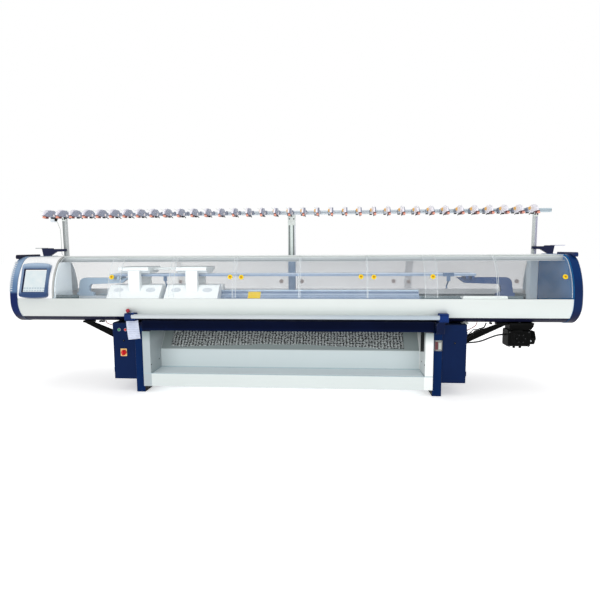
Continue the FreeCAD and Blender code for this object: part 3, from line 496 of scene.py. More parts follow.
# Tray tones paint light and shade: the inside lighter than the front lip and the floor lighter than
# the walls,
# against their shade; the slope above 0.373, the left end and the walls' upper part darker as
# shade, the right end lighter; a thin blue-grey line along the floor's back edge.
dress("fabric_tray", coated(
    "tray enamel", (193, 200, 199), specular=0.25, shade=0.03, patch=1.2, round_edges=0.002, **PALE,
    tones=(("Y", -0.4535, -0.4525, (240, 247, 250)), ("Z", 0.1908, 0.1925, (192, 203, 205)),
    ("Z", 0.373, 0.38, (132, 143, 143)), ("-X", 1.284, 1.289, (216, 220, 219)),
    ("X", -1.284, -1.289, (158, 168, 171)), ("Z", 0.48, 0.62, (106, 120, 121))),
    lines=(("Z", 0.1935, 0.0022, (150, 172, 178)),)))
dress("monitor_panel", coated(
    "monitor panel enamel", (252, 253, 254), rough=0.34, shade=0.03, round_edges=0.003, **PALE))
dress("top_rail", coated(
    "roof rail enamel", (196, 203, 206), rough=0.38, shade=0.05, patch=1.5, **PALE,
    tones=(("Z", 1.284, 1.29, (222, 228, 226)),), lines=(("Z", 1.2985, 0.0012, (170, 178, 176)),
    ("Z", 1.262, 0.004, (166, 174, 178)), ("Z", 1.248, 0.0025, (140, 150, 160)))))
dress("rear_cover", coated(
    "rear cover enamel", (206, 208, 210), specular=0.25, shade=0.04, patch=1.2, **PALE))
dress("main_beam", coated(
    "painted casting", (140, 158, 178), rough=0.55, shade=0.1, patch=7, grain=160, relief=0.5,
    tones=(("X", -1.29, -1.33, (196, 205, 212)), ("X", 1.29, 1.33, (104, 122, 128)))))
dress("left_carriage right_carriage", coated(
    "carriage enamel", (240, 245, 246), rough=0.32, shade=0.02, grain=400, relief=0.08, wear=0.1,
    round_edges=0.006))
pad_grey = coated(
    "moulded pad", (206, 213, 219), specular=0.25, shade=0.06, patch=30, grain=400, relief=0.1)
dress("rail_arms", coated(
    "rail arm enamel", (8, 62, 118), specular=0.25, grain=420, round_edges=0.004,
    tones=(("X", -1.0, -1.4, (160, 184, 206)),)))
ground_steel = dress("carrier_rails", coated(
    "ground steel", (126, 146, 172), rough=0.38, metal=0.2, specular=0.4, patch=5, grain=60,
    relief=0.2, stretch=(1, 14, 14), lines=(("Z", 1.1235, 0.002, (190, 205, 222)),)))
# Bezel: painted highlight along its top and left side, painted shade darker towards the bottom.
dress("monitor_bezel", coated(
    "bezel plastic", (88, 112, 146), rough=0.3, specular=0.25, shade=0.06, grain=700, relief=0.12,
    round_edges=0.005, tones=(("Z", 1.1, 1.0, (64, 90, 132)),
    ("X", -2.508, -2.516, (124, 144, 174)), ("Z", 1.19, 1.24, (164, 184, 206)),
    ("Z", 0.985, 0.955, (44, 70, 114)))))
dress("take_down_roller counter_roller", coated(
    "roller rubber", (44, 46, 50), rough=0.75, specular=0.2, shade=0.2, grain=300, relief=0.5))
dress("operating_bar", coated(
    "bar lacquer", (196, 203, 206), rough=0.3, shade=0.03, grain=300, relief=0.1,
    tones=(("X", -0.4, 1.0, (180, 193, 202)),)))
plate_yellow = coated(
    "yellow plate", (244, 208, 24), rough=0.45, specular=0.25, shade=0.05, patch=18)
head_plate = coated("post head plate", (226, 233, 229), rough=0.45, specular=0.25, patch=22)
# Posts: sides and ends painted lighter and darker as light and shade; dark lines paint the shade in
# the middle post's slot grooves and along the end posts' edges.
post_alloy = dress("stand_posts", coated(
    "drawn alloy", (236, 248, 244), rough=0.42, shade=0.05, patch=4, grain=80, stretch=(12, 12, 1),
    tones=(("X", 0.024, 0.032, (232, 235, 242)), ("X", -0.028, -0.034, (200, 207, 205)),
    ("X", -2.3, -2.5, (192, 197, 197)), ("X", 2.3, 2.5, (200, 206, 204)),
    ("X", 2.54, 2.546, (220, 222, 236))), lines=(("X", -0.024, 0.0045, (136, 144, 143)),
    ("X", 0.02, 0.005, (136, 144, 143)), ("X", -2.559, 0.0035, (112, 120, 118)),
    ("X", 2.556, 0.0025, (140, 137, 158)))))
dress("stand_beam", coated(
    "drawn beam alloy", (222, 231, 238), rough=0.42, shade=0.04, patch=4, grain=80,
    stretch=(1, 12, 12), tones=(("X", 1.2, 2.6, (190, 206, 215)),)))
sensor = coated("sensor housing", (148, 154, 172), rough=0.38, patch=12, grain=500, relief=0.1)
black = dress("diagonal_struts drive_motor", coated(
    "black enamel", (4, 5, 5), rough=0.5, specular=0.06, shade=0.25, grain=220, relief=0.4,
    wear=0.12))
bolt_dark = coated("oiled bolts", (52, 54, 56), metal=0.5, specular=0.4, shade=0.1)
alloy = dress("drive_pulley idler_pulley", coated(
    "turned alloy", (170, 176, 180), rough=0.35, metal=0.5, specular=0.5, shade=0.06))
cable_black = coated(
    "cable jacket", (14, 15, 16), rough=0.55, specular=0.2, shade=0.2, grain=700, relief=0.2)
# the sheets' edges painted white: a painted highlight along the door seams
edge_white = coated(
    "polished sheet edge highlight", (240, 246, 248), rough=0.25, specular=0.4, shade=0.03, grain=200,
    relief=0.1, alpha=0.58)
seal_grey = coated("door seal", (176, 178, 176), rough=0.5, specular=0.2, shade=0.16, patch=22)
# dark ledge pieces: painted shade, along the deck's back edge and at the right column's foot
ledge_dark = coated(
    "dark ledge painted shade", (64, 80, 86), rough=0.5, specular=0.2, shade=0.15, patch=12)
ledge_grey = coated(
    "right ledge enamel", (118, 140, 148), rough=0.5, specular=0.2, shade=0.1, patch=6)
dress("end_columns", coated(
    "end column enamel", (226, 236, 242), rough=0.35, specular=0.25, shade=0.04, **PALE,
    tones=(("Z", 1.0, 0.93, (186, 200, 208)), ("X", 0.0, 1.0, (204, 218, 227)))))
dress("side_tensioners", coated(
    "hand bar moulding", (13, 16, 45), specular=0.15, shade=0.12, round_edges=0.006,
    tones=(("X", 0.0, 1.0, (20, 42, 92)), ("Y", 0.3, 0.32, (26, 34, 70)))))
PLAIN = (       # small parts: name, colour, roughness, specular, shade
    ("yarn carrier enamel", (80, 108, 142), 0.4, 0.25, 0.08),
    ("post cover enamel", (132, 156, 186), 0.4, 0.25, 0.06),
    ("bezel recess", (20, 30, 66), 0.35, 0.2, 0.1),
    ("green button plastic", (22, 140, 92), 0.3, 0.4, 0.08),
    ("red button plastic", (206, 24, 30), 0.3, 0.3, 0.08),
    ("stop button plastic", (168, 34, 52), 0.3, 0.3, 0.08),
    ("yellow knob plastic", (248, 214, 30), 0.3, 0.3, 0.04),
    ("switch plate", (238, 198, 128), 0.45, 0.25, 0.05),
    ("amber knob plastic", (244, 186, 96), 0.3, 0.4, 0.06),
    ("knob screw", (190, 120, 20), 0.3, 0.4, 0.06),
    ("lamp lens", (240, 160, 136), 0.25, 0.4, 0.1),
    ("hook wire", (104, 106, 122), 0.4, 0.3, 0.1),
    ("dark red housing", (104, 52, 58), 0.35, 0.3, 0.1),
    ("sensor face", (246, 244, 252), 0.3, 0.3, 0.04),
    ("dial plastic", (248, 240, 238), 0.3, 0.3, 0.03),
    ("black plastic", (10, 12, 14), 0.45, 0.1, 0.15),
    ("wire jacket", (160, 36, 16), 0.45, 0.3, 0.1),
    ("pale wire", (190, 200, 192), 0.45, 0.3, 0.1),
    ("grey knob plastic", (198, 182, 178), 0.4, 0.3, 0.06),
    ("rear sill", (226, 227, 229), 0.5, 0.2, 0.06),
    ("ledge cover enamel", (214, 221, 219), 0.4, 0.25, 0.04),
    ("pale ledge enamel", (186, 208, 220), 0.4, 0.25, 0.05),
    ("socket plate", (138, 142, 140), 0.45, 0.25, 0.08),
    ("socket insert", (196, 200, 192), 0.4, 0.25, 0.06),
)
(carrier_blue, post_blue, bezel_inner, green, red, crimson, yellow, switch_yellow, amber,
 brown, lamp_peach, hook_grey, maroon, sensor_pale, dial_white, ink_black, wire_orange,
 wire_pale, grey_knob, sill_grey, ledge_white, ledge_blue, panel_grey, socket_pale) = (
    coated(name, colour, rough=rough, specular=specular, shade=shade)
    for name, colour, rough, specular, shade in PLAIN)
dress("yarn_carrier_1 yarn_carrier_2 yarn_carrier_3", carrier_blue)
dress("start_button", green)
dress("stop_button main_switch_knob", red)
dress("emergency_stop", crimson)
dress("monitor_screen", ink_black)

pane_clear = clear_sheet()
pane_milky = milky_sheet()
knit = knit_stripes()
dress("front_needle_bed rear_needle_bed", bed_steel())
dress("drive_belt", toothed_rubber())
page = screen_face()
card = printed_card()

# ---------- camera, light and floor
EYE, LENS = (0.462, -4.842, 1.384), 28.8            # solved from the photo's outline
yaw, pitch, roll = (radians(a) for a in (-4.14, -6.245, -0.333))
ahead = Vector((sin(yaw) * cos(pitch), cos(yaw) * cos(pitch), sin(pitch)))
level = Vector((cos(yaw), -sin(yaw), 0))
upright = level.cross(ahead)
right = level * cos(roll) + upright * sin(roll)
upward = upright * cos(roll) - level * sin(roll)
eye = added("camera", bpy.data.cameras.new("camera"))
eye.data.sensor_width = 36.0
eye.data.lens = LENS
turn = Matrix((right, upward, -ahead)).transposed()
eye.matrix_world = Matrix.Translation(EYE) @ turn.to_4x4()
scene.camera = eye
scene.view_settings.view_transform = "Standard"

world = bpy.data.worlds.new("room")
scene.world = world
world.use_nodes = True
sky = world.node_tree
sky.nodes["Background"].inputs["Color"].default_value = (1, 1, 1, 1)
seen = sky.nodes.new("ShaderNodeLightPath")
strength = sky.nodes.new("ShaderNodeMapRange")
strength.inputs["To Min"].default_value = 0.62      # what lights the machine
strength.inputs["To Max"].default_value = 1.0       # the plain backdrop
sky.links.new(seen.outputs["Is Camera Ray"], strength.inputs["Value"])
sky.links.new(strength.outputs["Result"], sky.nodes["Background"].inputs["Strength"])


def soft_light(name, place, target, size, watts):
    """A large lamp that the camera doesn't see."""
    lamp = bpy.data.lights.new(name, "AREA")
    lamp.shape = "RECTANGLE"
    lamp.size, lamp.size_y = size
    lamp.energy = watts
    made = added(name, lamp)
    aim = (Vector(target) - Vector(place)).to_track_quat("-Z", "Y")
    made.matrix_world = Matrix.Translation(place) @ aim.to_matrix().to_4x4()
    made.visible_camera = False
    return made


soft_light("overhead", (0, -0.5, 6.5), (0, 0, 0), (9, 5), 90)
soft_light("front", (-0.8, -7.5, 1.9), (-0.2, 0, 1.0), (14, 5), 230)
soft_light("back", (1.0, 6.0, 3.4), (0, 0, 0.9), (10, 4), 90)
fill = soft_light("hood fill", (0.3, -4.6, 3.6), (0, 0.2, 1.0), (11, 5), 210)
lit_inside = bpy.data.collections.new("lit by the hood fill")
fill.light_linking.receiver_collection = lit_inside
fill.light_linking.blocker_collection = lit_inside
for name in ("left_carriage right_carriage rail_arms carrier_rails yarn_carrier_1 yarn_carrier_2 "
             "yarn_carrier_3 front_needle_bed rear_needle_bed main_beam end_columns rear_cover "
             "fabric_tray").split():
    lit_inside.objects.link(nodes[name])

floor_mesh = bpy.data.meshes.new("floor")
floor_mesh.from_pydata([(-40, -40, 0), (40, -40, 0), (40, 40, 0), (-40, 40, 0)], [], [(0, 1, 2, 3)])
floor = added("floor", floor_mesh)
floor_look = Shader("pale floor")
floor_tone = floor_look.mix(
    floor_look.clouds(floor_look.place(), 0.6), (0.9, 0.9, 0.9, 1), (0.92, 0.92, 0.92, 1))
floor_mesh.materials.append(floor_look.set(
    Base_Color=floor_tone, Roughness=0.8, Specular_IOR_Level=0.1, Emission_Color=(1, 1, 1, 1),
    Emission_Strength=0.46))


# ---------- cables
def cable(name, route, diameter, material, node):
    """One smooth curve through space along the part's route."""
    curve = bpy.data.curves.new(name, "CURVE")
    curve.dimensions = "3D"
    curve.bevel_depth = diameter / 2
    curve.bevel_resolution = 4
    curve.use_fill_caps = True
    spline = curve.splines.new("NURBS")
    spline.points.add(len(route) - 1)
    for point, place in zip(spline.points, route):
        point.co = (*place, 1.0)
    spline.order_u = 3
    spline.use_endpoint_u = True
    spline.resolution_u = 12
    curve.materials.append(material)
    piece = placed(name, curve, replaces=(node,))
    relief = Piece()
    r = diameter / 2
    relief.lathe(
        [(r + 0.008, 0), (r + 0.008, 0.006), (r + 0.005, 0.01), (r + 0.0015, 0.034),
        (r + 0.0005, 0.035)], facing(route[0], (copysign(1, route[0][0]), 0, 0)), cable_black)
    relief.done(name + "_relief")


cable(
    "motor_cable_line", ((1.671, -0.3, 0.484), (1.74, -0.304, 0.486), (1.83, -0.312, 0.502),
    (1.92, -0.312, 0.543), (1.995, -0.306, 0.567), (2.055, -0.3, 0.568)), 0.014,
    cable_black, "motor_cable")
for name, length, route in (
        ("left_signal_wire", 0.142, (
            (-1.671, -0.3, 0.628), (-1.702, -0.3, 0.628), (-1.748, -0.3, 0.64),
            (-1.786, -0.3, 0.656), (-1.79, -0.3, 0.68))),
        ("right_signal_wire", 0.154, (
            (1.671, -0.3, 0.603), (1.702, -0.3, 0.603), (1.75, -0.3, 0.628),
            (1.784, -0.3, 0.652), (1.79, -0.3, 0.68)))):
    cable(name, route, 0.007, wire_orange, "signal_wires")


# ---------- clear hood doors
def door_pane(name, left, width, inset, material, body, node, mirrored=False):
    """One bent sheet with its polished edges, painted white as highlights."""
    sign = -1 if mirrored else 1
    line = hood_line(inset)
    columns = [left + width * k / 12 for k in range(13)]
    sheet = Piece()
    sheet.skin(
        [[(x, sign * y, z) for y, z in line] for x in columns], material, caps=False, closed=False)
    sheet.done(name + "_sheet", body, smooth=60, replaces=(node,), lit=mirrored)
    rim = Piece()
    inner = hood_line(inset + PANE)
    outline = line + inner[::-1]
    for x0, x1 in ((left, left + 0.005), (left + width - 0.005, left + width)):
        rim.skin([[(x, sign * y, z) for y, z in outline] for x in (x0, x1)], edge_white)
    rim.done(name + "_edge", body)


def knob_place(x, inset, angle, sign=1):
    """A knob's seat on a pane, facing out of it."""
    y, z = flank(angle, inset)
    a = radians(angle)
    return facing((x, sign * y, z), (0, -sign * cos(a), sin(a)))


for number, (left, knobs) in enumerate(FRONT_DOORS, 1):
    track = OUTER_TRACK if number % 2 else INNER_TRACK
    node = f"hood_door_{number}"
    body = node if knobs else "machine"
    door_pane(f"front_pane_{number}", left, DOOR_WIDTH, track, pane_clear, body, node)
    for k, x in enumerate(knobs):
        knob = Piece()
        place = knob_place(x, track, FRONT_KNOB_ANGLE)
        knob.lathe(
            [(0.01, -0.001), (0.01, 0.009), (0.02, 0.011), (0.022, 0.013), (0.0225, 0.017),
            (0.02, 0.02), (0.011, 0.0205), (0.009, 0.019)], place, yellow)
        knob.lathe([(0.009, 0.0185), (0.0085, 0.0215), (0.005, 0.0222), (0, 0.0224)], place, brown)
        knob.done(f"front_knob_{number}_{k}", body, smooth=30)

for number, (left, knobs, pulls) in enumerate(REAR_DOORS, 1):
    track = OUTER_TRACK if number in (2, 3) else INNER_TRACK
    body = f"rear_door_{number}"
    door_pane(f"rear_pane_{number}", left, REAR_WIDTH, track, pane_milky, body,
              f"rear_door_{number}", mirrored=True)
    grip_disc = [(0.021, -0.0075), (0.021, -0.0055), (0.01, -0.0045)]
    stem = [(0.01, 0.009), (0.02, 0.011), (0.0225, 0.014), (0.0225, 0.017), (0.02, 0.02),
            (0, 0.021)]
    for k, x in enumerate(knobs + pulls):
        knob = Piece()
        profile = grip_disc + (stem if x in knobs else [(0.01, -0.0005), (0, -0.0005)])
        knob.lathe(profile, knob_place(x, track, REAR_KNOB_ANGLE, -1), grey_knob)
        knob.done(f"rear_knob_{number}_{k}", body, smooth=30, lit=True)

sill = Piece()
sill.block(-2.48, 2.48, 0.438, 0.452, 0.842, 0.9325, sill_grey)
sill.done("rear_sill", bevel=0.002, lit=True)

# ---------- monitor
centre_y, centre_z = flank(SCREEN_ANGLE, 0)
tilt = Matrix.Translation((SCREEN_X, centre_y, centre_z)) @ Matrix.Rotation(
    radians(90 - SCREEN_ANGLE), 4, "X")
w, h = SCREEN_HALF_WIDTH, SCREEN_HALF_HEIGHT
screen = Piece()
recess = [(-w, -h - 0.004), (w, -h - 0.004), (w, h - 0.004), (-w, h - 0.004)]
screen.skin(
    [[tilt @ Vector((x * s, (y + 0.004) * s - 0.004, z)) for x, y in recess]
     for s, z in ((0.998, 0.0155), (0.992, 0.004), (0.93, 0.0006))], bezel_inner, caps=False)
screen.done("screen_recess")
page_mesh = bpy.data.meshes.new("screen_page")
page_mesh.from_pydata(
    [tilt @ Vector((x * 0.94, (y + 0.004) * 0.94 - 0.004, 0.0009)) for x, y in recess], [],
    [(0, 1, 2, 3)])
layer = page_mesh.uv_layers.new(name="page")
for loop, uv in zip(layer.data, ((0, 0), (1, 0), (1, 1), (0, 1))):
    loop.uv = uv
page_mesh.materials.append(page)
placed("screen_page", page_mesh)

# a grey seal along the panel's edge; its grey is partly painted shade on that edge
seal = Piece()
lip = hood_line(-0.0025, 0.4, 80.0) + hood_line(0.01, 0.4, 80.0)[::-1]
seal.prism_x(lip, -2.2262, -2.21, seal_grey)
seal.done("door_seal", bevel=0.001)

# the ribs are pale grey as painted highlights along the navy cap's rim
ribs = Piece()
for k in range(17):
    corners = []
    angle = RIB_FIRST + RIB_PITCH * k
    for a in (angle, angle + RIB_WIDTH):
        corners.append((flank if a < FLANK_ANGLE else crown)(a, -0.003))
    (y0, z0), (y1, z1) = corners
    dy = -RIB_RISE * cos(radians(angle))
    dz = RIB_RISE * sin(radians(angle))
    ribs.prism_x(
        [(y0, z0), (y0 + dy, z0 + dz), (y1 + dy, z1 + dz), (y1, z1)], -2.65, -2.618, pad_grey)
ribs.done("cap_grip_ribs", bevel=0.001)


# ---------- carriages, beds and hood inside
pads = Piece()
slope = Vector((0, -1, 1)).normalized()
for x in (-1.717, -1.386, -1.124, -0.805):
    base = facing((x, -0.147, 0.9665), slope) @ Matrix.Diagonal((1.0, 0.55, 1.0, 1.0))
    pads.lathe([(0.046, -0.002), (0.05, 0.0008), (0.046, 0.002), (0.038, 0.002), (0.035, 0.0006),
                (0, 0.0006)], base, pad_grey)
    pads.lathe([(0.024, 0), (0.022, 0.0028), (0.015, 0.0032), (0.012, 0.0018), (0, 0.0018)],
               base, pad_grey, 24)
pads.done("carriage_pads", "carriages", lit=True)

brushes = Piece()
for centre in (-1.548, -0.959):
    for side in (-1, 1):
        for x in (centre - 0.262, centre + 0.256):
            rows = ((-0.25, 0.7155), (-0.205, 0.76), (-0.205, 0.7545), (-0.247, 0.713))
            brushes.prism_x([(-side * y, z) for y, z in rows], x, x + 0.006, ink_black)
        brushes.block(centre - 0.15, centre + 0.15, side * 0.1205 - 0.0025,
                      side * 0.1205 + 0.0025, 1.136, 1.157, pad_grey)
brushes.done("carriage_trim", "carriages", bevel=0.001, lit=True)

plate = Piece()
corners = ((-0.412, 0.95), (-0.285, 0.95), (-0.285, 0.877), (-0.412, 0.877))
plate.skin([[(x, z - 0.96 - d, z + d) for x, z in corners] for d in (0, 0.0012)], plate_yellow)
plate.done("yellow_plate", bevel=0.0005, lit=True)

inside = Piece()
inside.block(-0.039, 0.039, 0.3592, 0.3642, 0.8, 1.24, post_blue)
for x in (-0.03, 0.026):
    inside.block(x, x + 0.004, 0.3562, 0.3592, 0.8, 1.235, ground_steel)
inside.done("post_cover", bevel=0.001, lit=True)

ledges = Piece()
# the ledge_dark strips and block paint shade along the deck's back edge and at the right column's
# foot
for x0, x1, y0, y1, z0, z1, look in (
        (-2.44, -1.32, 0.288, 0.298, 0.868, 0.875, ledge_dark),
        (1.3, 2.44, 0.288, 0.298, 0.835, 0.89, ledge_dark),
        (-2.252, -1.992, -0.436, -0.41, 0.905, 0.9445, ledge_dark),
        (-2.2, -1.32, 0.3, 0.435, 0.83, 0.872, ledge_blue),
        (-1.88, -1.32, 0.297, 0.3, 0.862, 0.876, ledge_dark),
        (1.31, 2.44, 0.3, 0.435, 0.83, 0.868, ledge_grey),
        (2.33, 2.45, 0.292, 0.42, 0.835, 0.89, ledge_dark)):
    ledges.block(x0, x1, y0, y1, z0, z1, look)
ledges.prism_y(
    [(1.62, 0.912), (1.624, 0.9385), (2.006, 0.9385), (2.014, 0.932), (2.014, 0.912)], -0.436,
    -0.412, ledge_white)
ledges.done("hood_ledges", bevel=0.004, lit=True)


# ---------- yarn stand
def stop_motion(rng):
    """One unit: pale dome with its dial, grey fin beside it, lamp, disc and clips, on an arm."""
    def near(y, z, spread=0.004):
        return (y + rng.uniform(-spread, spread), z + rng.uniform(-0.3, 0.3) * spread)

    unit = Piece()
    fin = [(0.052, 1.722), (0.06, 1.734), near(0.092, 1.76), near(0.124, 1.781),
           near(0.15, 1.79), near(0.205, 1.792), near(0.232, 1.786, 0.008), (0.256, 1.771),
           (0.276, 1.752), (0.278, 1.737), (0.246, 1.722), (0.2, 1.719), (0.12, 1.724)]
    unit.prism_x(fin, 0.0, FIN_GREY, sensor)
    dome = [(0.04, 1.728), (0.042, 1.745), (0.054, 1.766), (0.08, 1.784), (0.12, 1.795),
            (0.17, 1.798), (0.218, 1.793), (0.248, 1.779), (0.26, 1.758), (0.258, 1.728),
            (0.205, 1.718), (0.09, 1.719)]
    unit.prism_x(dome, -FIN_WHITE, -0.0005, sensor_pale)
    unit.prism_x([(y * 0.8 + 0.028, z * 0.8 + 0.3515) for y, z in dome], -FIN_WHITE - 0.003,
                 -FIN_WHITE + 0.001, sensor_pale)
    unit.block(0.002, 0.012, 0.262, BEAM_FACE, 1.741, 1.765, sensor)
    unit.block(-0.006, 0.02, 0.357, BEAM_FACE, 1.737, 1.773, sensor)
    unit.block(0, 0.014, 0.357, 0.409, BEAM_TOP, 1.78, sensor)
    face = facing((-FIN_WHITE - 0.002, 0.19, 1.762), (-1, 0, 0))
    unit.lathe(
        [(0.03, -0.001), (0.03, 0.005), (0.026, 0.008), (0.016, 0.0085)], face, dial_white, 24)
    unit.lathe([(0.0165, 0.007), (0.0165, 0.018), (0.013, 0.023), (0, 0.024)], face, amber, 14)
    y, z = near(0.202, 1.739)
    unit.lathe([(0.0135, -0.001), (0.0135, 0.005), (0.01, 0.007), (0, 0.007)],
               facing((FIN_GREY, y, z), (1, 0, 0)), dial_white, 18)
    unit.prism_x(
        [(0.034, 1.702), (0.03, 1.712), (0.04, 1.724), (0.062, 1.722), (0.064, 1.704)], -0.008,
        0.01, lamp_peach)
    unit.block(-0.009, 0.011, 0.068, 0.112, 1.701, 1.721, maroon)
    unit.prism_x(
        [(0.036, 1.731), (0.036, 1.727), (0.1, 1.7175), (0.13, 1.7175), (0.13, 1.7235)],
        -FIN_WHITE - 0.002, FIN_GREY - 0.004, maroon)
    unit.block(-0.006, 0.01, *sorted((near(0.18, 0)[0], 0.216)), 1.706, 1.72, ink_black)
    tail = near(0.286, 1.71, 0.008)
    unit.tube([(0.006, 0.232, 1.722), (0.006, 0.256, 1.717), (0.006, *tail)], 0.005, ink_black, 8)
    unit.block(-0.04, -FIN_WHITE, 0.246, 0.268, 1.716, 1.726, ink_black)
    unit.tube([(-0.014, 0.25, 1.776), (-0.032, 0.254, 1.774), (-0.041, 0.256, 1.762),
               (-0.042, 0.256, 1.742), (-0.034, 0.254, 1.724)], 0.0026, hook_grey, 8)
    unit.tube(
        [(-0.01, 0.06, 1.77), (-0.026, 0.04, 1.777), (-0.034, 0.034, 1.784)], 0.0014, wire_pale, 6)
    return unit.mesh("stop_motion")


rng = random.Random(11)
unit_meshes = [stop_motion(rng) for _ in range(5)]
for k in range(UNIT_COUNT):
    unit = placed(
        f"stop_motion_{k + 1}", unit_meshes[k * 3 % 5], bevel=0.0016,
        replaces=("stop_motions",))
    unit.location.x = UNIT_FIRST + k * UNIT_PITCH

stand = Piece()
for x, half, low in ((-2.545, 0.021, 1.69), (2.545, 0.021, 1.69), (0, 0.041, 1.622)):
    stand.block(x - half, x + half, 0.3588, 0.3648, low, 1.7345, head_plate)
    for dx in (-half * 0.56, half * 0.56):
        stand.lathe(
            [(0.0072, 0), (0.0072, 0.0012), (0, 0.0012)],
            facing((x + dx, 0.3588, 1.69 if x == 0 else 1.712)), ink_black, 14)
for end in (-2.7005, 2.7005):
    stand.block(
        min(end, end * 0.9985), max(end, end * 0.9985), 0.366, 0.404, 1.736, 1.774, ink_black)
stand.block(-2.645, -2.625, 0.35, 0.372, 1.69, 1.732, ink_black)
stand.tube(
    [(-2.64, 0.36, 1.7), (-2.615, 0.358, 1.672), (-2.59, 0.36, 1.6), (-2.586, 0.36, 1.45),
    (-2.588, 0.36, 1.33), (-2.568, 0.362, 1.3)], 0.0028, wire_pale, 8)
stand.done("stand_fittings", bevel=0.0008)

rods = Piece()
for side, x0, x1 in ((-1, 2.743, 2.885), (1, 2.7, 2.845)):
    rods.tube([(side * x0, 0.35, 1.391), (side * x1, 0.35, 1.391)], 0.0054, post_alloy)
rods.done("tension_rods")


# ---------- controls and cabinets
def add_lock(piece, x):
    """A small round lock with its slot, on a cabinet door."""
    piece.lathe([(0.0085, 0), (0.0085, 0.0056), (0.0065, 0.0068), (0, 0.0068)],
                facing((x, DOOR_FACE, LOCK_Z)), ink_black)
    piece.block(x - 0.0005, x + 0.0005, DOOR_FACE - 0.0072, DOOR_FACE - 0.006, LOCK_Z - 0.005,
                LOCK_Z + 0.005, alloy)


fittings = Piece()
ring = [(0.0155, 0), (0.0155, 0.006), (0.0125, 0.0075), (0.0115, 0.0055)]
for x in (-1.607, -1.544):
    fittings.lathe(ring, facing((x, DOOR_FACE, 0.608)), alloy)
hand_plate = [(-1.601, 0.419), (-1.597, 0.423), (-1.543, 0.423), (-1.539, 0.419),
              (-1.539, 0.353), (-1.543, 0.349), (-1.597, 0.349), (-1.601, 0.353)]
fittings.prism_y(hand_plate, DOOR_FACE - 0.0055, DOOR_FACE - 0.0005, switch_yellow)
add_lock(fittings, -CABINET_X)
fittings.done("left_door_fittings", "left_cabinet_door", bevel=0.0006)
lock = Piece()
add_lock(lock, CABINET_X)
lock.done("right_door_lock", "right_cabinet_door", bevel=0.0004)

grip = Piece()
grip.lathe(
    [(0.0255, 0), (0.0255, 0.01), (0.0235, 0.0145), (0, 0.0145)],
    facing((-CABINET_X, DOOR_FACE - 0.006, SWITCH_Z)), red)
outline = [(-0.008, -0.0245), (0.008, -0.0245), (0.0055, 0.0245), (-0.0055, 0.0245)]
grip.prism_y(
    [(x - CABINET_X, z + SWITCH_Z) for x, z in outline], DOOR_FACE - 0.0415, DOOR_FACE - 0.019, red)
grip.done("switch_grip", "main_switch_knob", bevel=0.0018)

lever = Piece()
place = facing((BAR_LEFT + 0.016, BAR_Y, BAR_Z), (0, 0, 1))
for profile in ([(0.0115, 0.012), (0.0115, 0.037), (0.009, 0.0405), (0, 0.0415)],
                [(0.0135, 0), (0.0135, 0.0215), (0.0125, 0.0235), (0.0115, 0.0235)]):
    lever.lathe(profile, place, bracket_navy, 20)
for x0, x1 in ((BAR_LEFT, -1.436), (1.4, BAR_RIGHT)):
    lever.lathe([(0, 0), (0.0201, 0), (0.0203, 0.0006), (0.0203, x1 - x0 - 0.0006),
                 (0.0201, x1 - x0)], facing((x0, BAR_Y, BAR_Z), (1, 0, 0)), bracket_navy, 32)
lever.done("bar_lever", "operating_bar")

clamp = [(-0.505, 0.771), (-0.5195, 0.771), (-0.5235, 0.767), (-0.5235, 0.733), (-0.5195, 0.729),
         (-0.505, 0.729), (-0.505, 0.738), (-0.516, 0.738), (-0.516, 0.762), (-0.505, 0.762)]
clamps = Piece()
for x0, x1 in ((-1.502, BAR_LEFT - 0.0005), (BAR_RIGHT + 0.0005, 1.479)):
    clamps.prism_x(clamp, x0, x1, bracket_navy)
clamps.done("bar_clamp_caps", bevel=0.0015)

panel = Piece()
panel.block(1.379, 1.449, -0.4242, -0.4212, 0.429, 0.529, panel_grey)
panel.block(1.384, 1.412, -0.4262, -0.4242, 0.442, 0.516, maroon)
panel.block(1.416, 1.44, -0.4262, -0.4242, 0.446, 0.506, socket_pale)
for x in (1.386, 1.442):
    for z in (0.435, 0.523):
        panel.lathe(
            [(0.004, 0), (0.004, 0.0015), (0, 0.0018)], facing((x, -0.4242, z)), ink_black, 10)
panel.done("socket_panel", bevel=0.001)

inner = Piece()
inner.prism_x(
    [(-0.185, 0.366), (-0.398, 0.41), (-0.398, 0.598), (-0.185, 0.598)], 1.2962, 1.2985, ink_black)
for x, y, z in ((-1.292, -0.231, 0.284), (-1.292, -0.4385, 0.275), (1.292, -0.287, 0.296),
                (1.292, -0.44, 0.299)):
    side = copysign(1, -x)
    inner.lathe([(0.0068, -0.001), (0.0068, 0.002), (0.004, 0.0032), (0, 0.0032)],
                facing((x, y, z), (side, 0, 0)), ink_black, 12)
inner.done("tray_screws")

vents = Piece()
for side in (-1, 1):
    for k in range(7):
        z = 0.43 + 0.022 * k
        x = side * 1.671
        slat = [(x, z), (x + side * 0.0055, z - 0.004), (x + side * 0.0055, z - 0.012),
                (x, z - 0.013)]
        vents.prism_y(slat, -0.21, -0.03, paint_navy)
        slat = [(0.15, z), (0.1555, z - 0.004), (0.1555, z - 0.012), (0.15, z - 0.013)]
        vents.prism_x(slat, side * 1.561 - 0.07, side * 1.561 + 0.07, paint_navy)
vents.done("cabinet_vents", bevel=0.0008)

